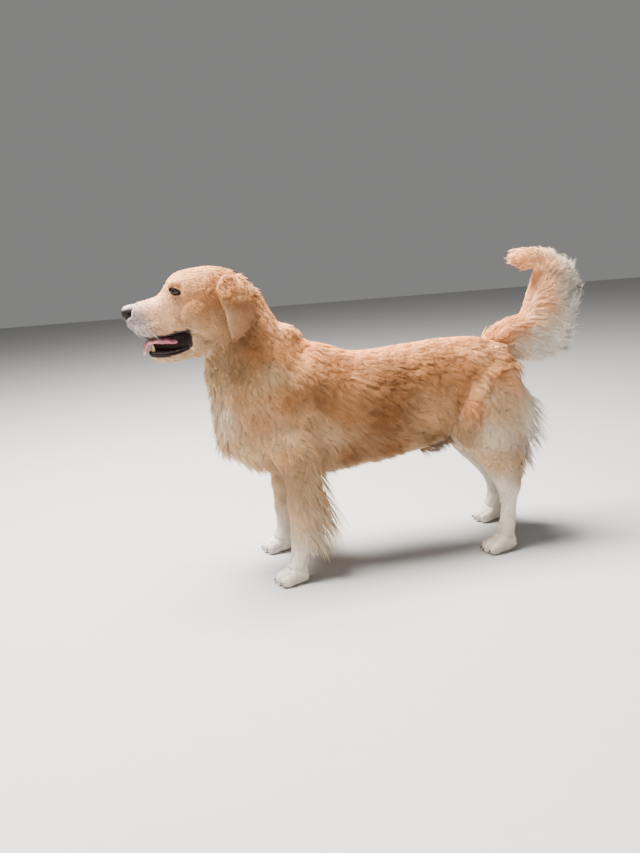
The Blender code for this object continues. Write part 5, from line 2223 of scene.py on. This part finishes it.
# ---- eyes ---------------------------------------------------------------------------------------
@dataclass
class Eyes:
    """Eyeballs, their sockets in the skin, and the dark lids round them."""

    long_half: float = 0.0112
    upper: float = 0.0064
    lower: float = 0.0044
    lid: float = 0.0009
    lid_sheet: float = 0.0006
    front_stretch: float = 1.2
    slope: Vector = field(default_factory=lambda: Vector((0.9, 0.0, -0.42)))
    out: Vector = field(default_factory=lambda: Vector((-0.36, 0.9, 0.2)))
    around: int = 64
    roll: tuple[Place, ...] = (
        (-0.0006, -0.001), (0.0, 0.0003), (0.0005, 0.0007), (0.0012, 0.0005), (0.0021, -0.0001),
    )

    def axes(self, side: Side) -> tuple[Vector, Vector, Vector, Vector]:
        """The eye's own axes.

        Args:
            side: Which eye.

        Returns:
            Centre of the eyeball, and unit vectors backwards, upwards and outwards from it.
        """
        s = side.value
        outward = Vector((self.out.x, s * self.out.y, self.out.z)).normalized()
        back = (self.slope - outward * self.slope.dot(outward)).normalized()
        up = back.cross(outward) * -s
        return Vector((EYE.x, s * EYE.y, EYE.z)), back, up.normalized(), outward

    def local(self, places: Array, side: Side) -> Array:
        """Places in the eye's own axes: backwards, upwards and outwards."""
        centre, back, up, outward = self.axes(side)
        return (places - np.array(centre)) @ np.array([back, up, outward]).T

    def opening(self, flat: Array) -> Array:
        """How far out of the opening places lie.

        Args:
            flat: Places in the eye's own axes.

        Returns:
            Distance from the opening's middle as a share of the distance to its edge.
        """
        u, v = flat[:, 0] / self.long_half, flat[:, 1]
        u = np.where(u < 0, u / self.front_stretch, u)
        high = np.where(v > 0, self.upper, self.lower)
        return np.sqrt(u**2 + (np.abs(v) / high) ** 1.6)

    def carve(self, mesh: Mesh) -> None:
        """Sinks the skin behind the opening of each eye, and draws it over the rest of the eyeball.

        Args:
            mesh: The skin.
        """
        places = corners(mesh)
        for side in Side:
            local = self.local(places, side)
            out = np.hypot(local[:, 0], local[:, 1])
            near = (out < 0.016) & (local[:, 2] > 0)
            ball = np.sqrt(np.maximum(EYE_RADIUS**2 - out**2, 0))
            opening = self.opening(local)
            share = ease(1.3, 1.05, opening)
            down = np.where(near, np.maximum(local[:, 2] - ball + 0.003, 0) * share, 0)
            cover = ease(0.0128, 0.0108, out) * (local[:, 2] > 0)
            up = cover * np.maximum(ball + self.lid - local[:, 2], 0) * ease(1.12, 1.32, opening)
            places += np.outer(up - down, np.array(self.axes(side)[3]))
        put_corners(mesh, places)

    def bare(self, places: Array) -> Array:
        """How bare the skin is.

        Args:
            places: Places on the skin.

        Returns:
            1 in the socket.
        """
        found = np.zeros(len(places))
        for side in Side:
            local = self.local(places, side)
            near = ease(0.0175, 0.0125, np.linalg.norm(local, axis=1))
            found = np.maximum(found, near * ease(1.55, 1.2, self.opening(local)))
        return found

    def build_ball(self, side: Side) -> None:
        """One eyeball with its cornea.

        Args:
            side: Which eye.
        """
        centre, _, _, outward = self.axes(side)
        word = side.name.lower()
        mesh = form_mesh("eye", [Ball(tuple(centre), (EYE_RADIUS - 0.0002,) * 3, fine=72)])
        places = corners(mesh)
        gaze = np.array(outward)
        facing = unit(places - np.array(centre)) @ gaze
        places += np.outer(0.0008 * ease(0.7, 0.9, facing), gaze)
        put_corners(mesh, places)
        seat = (centre.x + AHEAD, centre.y, centre.z)
        material = EyeFinish("eye_" + word + "_glass", gaze=tuple(outward), centre=seat).build()
        finish_piece("eyeball_" + word, mesh, material, ["eye_" + word])

    def lid_rings(self, surface: BVHTree, side: Side) -> list[Array]:
        """Rings that roll from the eyeball out onto the skin.

        Args:
            surface: The skin.
            side: Which eye.

        Returns:
            The rings.
        """
        centre, back, up, outward = self.axes(side)
        turn = turns(self.around)
        u = np.cos(turn) * self.long_half * np.where(np.cos(turn) < 0, self.front_stretch, 1.0)
        high = np.where(np.sin(turn) > 0, self.upper, self.lower)
        v = np.sign(np.sin(turn)) * np.abs(np.sin(turn)) ** 1.25 * high
        away = unit(np.stack([u / self.long_half**2, v / high**2], axis=1))
        rings = []
        for offset, proud in self.roll:
            flat = np.stack([u, v], axis=1) + away * offset
            ball = np.sqrt(np.maximum(EYE_RADIUS**2 - (flat**2).sum(axis=1), 0.003**2))
            share = float(ease(0.0, 0.003, offset))
            ring = []
            for (a, b), rise in zip(flat, ball):
                foot = centre + back * float(a) + up * float(b)
                hit = surface.ray_cast(foot + outward * 0.05, -outward)[0]
                skin = max((hit - centre).dot(outward) if hit else 0.0, rise + self.lid)
                height = (1 - share) * (rise + proud) + share * (skin + proud - 0.0005 * share)
                ring.append(foot + outward * float(height))
            rings.append(np.array(ring))
        return rings

    def build_lids(self, surface: BVHTree, material: Material) -> None:
        """Dark rims round the eyes.

        Args:
            surface: The skin.
            material: Their finish.
        """
        bm = bmesh.new()
        for side in Side:
            add_rings(bm, self.lid_rings(surface, side), closed_ends=False)
        bmesh.ops.recalc_face_normals(bm, faces=bm.faces)
        helper = new_object("lids_helper", mesh_from(bm, "lids"))
        solid = helper.modifiers.new("thickness", "SOLIDIFY")
        solid.thickness = self.lid_sheet
        solid.offset = -1.0
        thick = evaluated_mesh(helper)
        discard(helper)
        finish_piece("eyelids", thick, material)


# ---- nose, claws, pads and whiskers -------------------------------------------------------------
@dataclass
class Nose:
    """Nose leather with its nostrils and the groove between them."""

    tip_x: float = -0.321
    middle_z: float = 0.68

    def bare(self, places: Array) -> Array:
        """How bare the skin is.

        Args:
            places: Places on the skin.

        Returns:
            1 under the leather.
        """
        x, y, z = places.T
        low = np.interp(x - self.tip_x, [0.012, 0.0215, 0.029, 0.0345], [-0.014, -0.01, -0.004, 0.003])
        back = self.tip_x + 0.0335 - 18.0 * y * y
        return ease(back + 0.002, back, x) * ease(low - 0.001, low + 0.001, z - self.middle_z)

    def sink(self, mesh: Mesh) -> None:
        """Draws the skin in under the leather.

        Args:
            mesh: The skin.
        """
        places = corners(mesh)
        share = self.bare(places)
        inward = unit(np.array([self.tip_x + 0.03, 0.0, self.middle_z + 0.002]) - places)
        put_corners(mesh, places + inward * (0.0055 * share)[:, None])

    def nostrils(self, places: Array) -> Array:
        """How deep in a nostril places lie.

        Args:
            places: Places on the leather.

        Returns:
            1 in the middle of a nostril.
        """
        inside = np.zeros(len(places))
        for side in Side:
            for t in np.linspace(0, 1, 14):
                along = 0.006 + 0.0165 * t
                out = np.interp(t, [0, 0.4, 1], [0.0095, 0.0165, 0.0205])
                high = -0.0005 + 0.003 * math.sin(math.pi * t) - 0.0035 * t * t
                radius = 0.0042 - 0.0026 * t
                spot = np.array([self.tip_x + along, side.value * out, self.middle_z + high])
                inside = np.maximum(inside, np.exp(-(((places - spot) ** 2).sum(axis=1)) / radius**2))
        return inside

    def build(self, material: Material) -> None:
        """The nose.

        Args:
            material: Its finish.
        """
        x, z = self.tip_x, self.middle_z
        leather = [
            Rib((x + 0.037, z + 0.0197), (x + 0.0345, z - 0.001), 0.014, 0, 2.4, 0.0),
            Rib((x + 0.031, z + 0.019), (x + 0.029, z - 0.007), 0.0172, 0, 2.5, 0.05),
            Rib((x + 0.023, z + 0.0182), (x + 0.0215, z - 0.0125), 0.0196, 0, 2.6, 0.1),
            Rib((x + 0.013, z + 0.0165), (x + 0.012, z - 0.016), 0.0198, 0, 2.6, 0.12),
            Rib((x + 0.0055, z + 0.013), (x + 0.0055, z - 0.016), 0.0175, 0, 2.5, 0.12),
            Rib((x + 0.0015, z + 0.0075), (x + 0.002, z - 0.012), 0.0125, 0, 2.3, 0.1),
        ]
        mesh = Loft(leather, start_depth=0.003, end_depth=0.0015, ring=96, span=12).mesh("nose")
        places = corners(mesh)
        inside = self.nostrils(places)
        middle = np.array([x + 0.018, 0.0, z - 0.001])
        places += unit(middle - places) * (0.0042 * inside)[:, None]
        groove = np.exp(-((places[:, 1] / 0.001) ** 2)) * ease(z + 0.002, z - 0.003, places[:, 2])
        places[:, 0] += 0.0014 * groove * ease(x + 0.012, x + 0.004, places[:, 0])
        put_corners(mesh, places)
        # the nostril depth, which the finish paints near black as the shade in the openings
        write_attribute(mesh, "nostril", ease(0.25, 0.75, inside))
        finish_piece("nose_pad", mesh, material, ["nose"])


@dataclass
class Whiskers:
    """Stiff pale hairs on the muzzle and the chin."""

    beds: tuple[tuple[float, float, float, float, int], ...] = (
        (-0.285, 0.652, 0.012, 0.01, 6), (-0.268, 0.636, 0.012, 0.008, 5), (-0.245, 0.566, 0.012, 0.003, 4),
    )
    thick: float = 0.00024
    droop: float = 0.35

    def rings(self, foot: Array, way: Array, length: float) -> list[Array]:
        """Rings of one whisker.

        Args:
            foot: Where it leaves the skin.
            way: Its direction there.
            length: Its length.

        Returns:
            The rings.
        """
        turn = turns(5)
        rings = []
        for t in np.linspace(-0.06, 1, 9):
            sink = np.array([0.3, 0, -0.7]) * length * self.droop * t * abs(t)
            radius = self.thick * (1.02 - 0.85 * max(t, 0))
            ring = radius * np.stack([np.cos(turn), 0 * turn, np.sin(turn)], axis=1)
            rings.append(foot + way * length * t + sink + ring)
        return rings

    def build(self, surface: BVHTree, material: Material) -> None:
        """All whiskers as one piece: each leaves the skin outwards and back, and droops.

        Args:
            surface: The skin.
            material: Their finish.
        """
        draw = np.random.default_rng(71)
        bm = bmesh.new()
        for side in Side:
            for x, z, wide, high, count in self.beds:
                for _ in range(count):
                    across = side.value * 0.2
                    start = (x + draw.uniform(-wide, wide), across, z + draw.uniform(-high, high))
                    length = draw.uniform(0.018, 0.036)
                    way = unit(np.array([draw.uniform(-0.3, 0.6), side.value, draw.uniform(-0.5, 0.2)]))
                    hit = surface.ray_cast(Vector(start), Vector((0, -side.value, 0)))[0]
                    if hit is not None:
                        add_rings(bm, self.rings(np.array(hit), way, length))
        finish_piece("whiskers", mesh_from(bm, "whiskers"), material)


@dataclass
class Feet:
    """Claws and pads of the four paws."""

    claw_length: float = 0.0095
    claw_radius: float = 0.0026
    paws: list[Paw] = field(
        default_factory=lambda: [paw for side in Side for paw in (fore_paw(side), hind_paw(side))]
    )

    def build_claws(self, material: Material) -> None:
        """Curved tapering claws at the ends of the toes.

        Args:
            material: Their finish.
        """
        bm = bmesh.new()
        turn = turns(10)
        ring = np.stack([-0.35 * np.sin(turn), 0.72 * np.cos(turn), np.sin(turn)], axis=1)
        for paw in self.paws:
            for across, centre in paw.toe_centres():
                root = np.array(centre) + np.array([-0.014, 0, 0.0012])
                rings = []
                for t in np.linspace(0, 0.96, 7):
                    middle = root + np.array([-self.claw_length * t, across * 0.0006 * t, -0.0085 * t * t])
                    radius = self.claw_radius * (1 - t**1.6) + 0.0003
                    rings.append(middle + radius * ring)
                add_rings(bm, rings)
        finish_piece("claws", mesh_from(bm, "claws"), material)

    def build_pads(self, material: Material) -> None:
        """One broad pad and four toe pads under each paw.

        Args:
            material: Their finish.
        """
        bm = bmesh.new()
        for paw in self.paws:
            Ball((paw.ball_x + 0.012, paw.y, 0.0058), (0.014, 0.0165, 0.0062), fine=28).add_to(bm)
            for _, centre in paw.toe_centres():
                Ball((centre.x - 0.002, centre.y, 0.0048), (0.0085, 0.0058, 0.0052), fine=20).add_to(bm)
        for vert in bm.verts:
            vert.co.z = max(vert.co.z, 0.0002)
        finish_piece("pads", mesh_from(bm, "pads"), material)


# ---- the dog ------------------------------------------------------------------------------------
FLESH_NODES = (
    "head", "neck", "trunk", "tail", "jaw", "ear_left", "ear_right", "foreleg_left", "foreleg_right",
    "forepaw_left", "forepaw_right", "thigh_left", "thigh_right", "hock_left", "hock_right",
    "hindpaw_left", "hindpaw_right",
)


@dataclass
class Dog:
    """The whole dog."""

    flesh: Flesh = field(default_factory=Flesh)
    groom: Groom = field(default_factory=Groom)
    eyes: Eyes = field(default_factory=Eyes)
    mouth: Mouth = field(default_factory=Mouth)
    nose: Nose = field(default_factory=Nose)
    whiskers: Whiskers = field(default_factory=Whiskers)
    feet: Feet = field(default_factory=Feet)
    lips: Finish = LipFinish()
    lids: Finish = LipFinish("lid_skin", DULL, (0.006, 0.004, 0.004), (0.02, 0.012, 0.012))
    # a near-black sheet in the back of the mouth: painted shade
    depth: Finish = LipFinish("mouth_depth", DULL, (0.004, 0.002, 0.002), (0.026, 0.008, 0.007))
    pale: Finish = HornFinish("whisker_hair", dark=(0.42, 0.36, 0.3), light=(0.8, 0.74, 0.66))

    def build(self) -> None:
        """Makes every piece in order."""
        skin = self.flesh.build()
        whole = BVHTree.FromPolygons(corners(skin).tolist(), [tuple(p.vertices) for p in skin.polygons])
        self.eyes.carve(skin)
        self.groom.apply(skin, self.mouth, self.eyes, self.nose)
        self.nose.sink(skin)
        unwrap(skin)
        LOG.info("skin ready")
        Coat(skin).build()
        skin.attributes.remove(skin.attributes["root_map"])
        finish_piece("skin", skin, SkinFinish().build(), FLESH_NODES)
        lips = self.lips.build()
        for side in Side:
            self.eyes.build_ball(side)
        self.eyes.build_lids(whole, self.lids.build())
        self.nose.build(LeatherFinish().build())
        self.whiskers.build(whole, self.pale.build())
        self.mouth.build_lips(whole, lips)
        self.mouth.build_lining(self.depth.build())
        self.mouth.build_tongue(TongueFinish().build())
        self.mouth.build_teeth(EnamelFinish().build())
        self.feet.build_claws(HornFinish().build())
        self.feet.build_pads(PadFinish().build())


def unwrap(mesh: Mesh) -> None:
    """Unwraps the skin into its bake map, and stores the map again under a name that the tufts read.

    Args:
        mesh: The skin.
    """
    helper = new_object("unwrap", mesh)
    bpy.context.view_layer.objects.active = helper
    helper.select_set(True)
    bpy.ops.object.mode_set(mode="EDIT")
    bpy.ops.mesh.select_all(action="SELECT")
    bpy.ops.uv.smart_project(angle_limit=math.radians(66), island_margin=0.002)
    bpy.ops.object.mode_set(mode="OBJECT")
    mesh = helper.data
    mesh.uv_layers[0].name = BAKE_MAP
    flat = np.empty(len(mesh.loops) * 2, np.float32)
    mesh.uv_layers[0].data.foreach_get("uv", flat)
    wide = np.zeros((len(mesh.loops), 3), np.float32)
    wide[:, :2] = flat.reshape(-1, 2)
    copy = mesh.attributes.new("root_map", "FLOAT_VECTOR", "CORNER")
    copy.data.foreach_set("vector", wide.ravel())
    discard(helper)


# ---- studio -------------------------------------------------------------------------------------
@dataclass(frozen=True)
class Lamp:
    """A square lamp that shines from a place towards an aim."""

    name: str
    place: Point
    aim: Point
    size: float
    power: float
    colour: Colour = (1.0, 1.0, 1.0)

    def build(self) -> None:
        """Hangs the lamp."""
        data = bpy.data.lights.new(self.name, "AREA")
        data.shape = "SQUARE"
        data.size = self.size
        data.energy = self.power
        data.color = self.colour
        light = new_object(self.name, data)
        light.location = self.place
        light.rotation_euler = (Vector(self.aim) - Vector(self.place)).to_track_quat("-Z", "Y").to_euler()


@dataclass
class Studio:
    """Pale floor, soft light and the camera."""

    eye_height: float = 0.8
    from_nose: Place = (0.0695, -1.787)
    pitch: float = 13.56
    turn: float = 12.0
    roll: float = 3.7
    focal: float = 744.0
    long_side: float = 853.0
    sensor: float = 36.0
    floor_half: float = 9
    surround: tuple[float, ...] = (0.86, 0.85, 0.84, 1)
    surround_strength: float = 0.27
    lamps: tuple[Lamp, ...] = (
        Lamp("key", (-0.9, 0.4, 3.1), (0.0, 0.0, 0.45), 1.5, 860.0, (1.0, 0.93, 0.84)),
        Lamp("fill", (-1.6, -3.4, 1.8), (0.0, 0.0, 0.4), 2.4, 34.0),
    )

    def build_camera(self) -> None:
        """The camera, a little ahead of the dog's shoulder and looking down."""
        data = bpy.data.cameras.new("camera")
        data.sensor_width = self.sensor
        data.lens = self.focal * self.sensor / self.long_side
        camera = new_object("camera", data)
        pitch, turn, roll = (math.radians(angle) for angle in (self.pitch, self.turn, self.roll))
        ahead = Vector((math.sin(turn) * math.cos(pitch), math.cos(turn) * math.cos(pitch), -math.sin(pitch)))
        right = Vector((math.cos(turn), -math.sin(turn), 0))
        down = ahead.cross(right)
        down = down if down.z < 0 else -down
        image_x = right * math.cos(roll) + down * math.sin(roll)
        image_y = right * math.sin(roll) - down * math.cos(roll)
        turned = Matrix((image_x, image_y, -ahead)).transposed().to_4x4()
        place = Vector((NOSE_TIP_X + AHEAD + self.from_nose[0], self.from_nose[1], self.eye_height))
        camera.matrix_world = Matrix.Translation(place) @ turned
        bpy.context.scene.camera = camera

    def build_floor(self) -> None:
        """A plain pale floor."""
        mesh, half = bpy.data.meshes.new("floor"), self.floor_half
        mesh.from_pydata(
            [(-half, -half, 0), (half, -half, 0), (half, half, 0), (-half, half, 0)], [], [(0, 1, 2, 3)]
        )
        floor = new_object("floor", mesh)
        bench = ShaderBench("floor_paint", Gloss(roughness=0.85, specular=0.1))
        grain = bench.noise(bench.place(), 30.0, 4.0)
        bench.colour(bench.mix(grain, (0.44, 0.445, 0.45), (0.47, 0.475, 0.48)))
        mesh.materials.append(bench.material)

    def build_surround(self) -> None:
        """A pale surround."""
        world = bpy.data.worlds.new("surround")
        world.use_nodes = True
        inputs = world.node_tree.nodes["Background"].inputs
        inputs["Color"].default_value = self.surround
        inputs["Strength"].default_value = self.surround_strength
        bpy.context.scene.world = world

    def build(self) -> None:
        """Everything round the dog."""
        self.build_camera()
        self.build_floor()
        for lamp in self.lamps:
            lamp.build()
        self.build_surround()


def main() -> None:
    """Builds the studio and the dog."""
    logging.basicConfig(level=logging.INFO, format="%(name)s %(message)s")
    Studio().build()
    Dog().build()


if __name__ == "__main__":
    main()
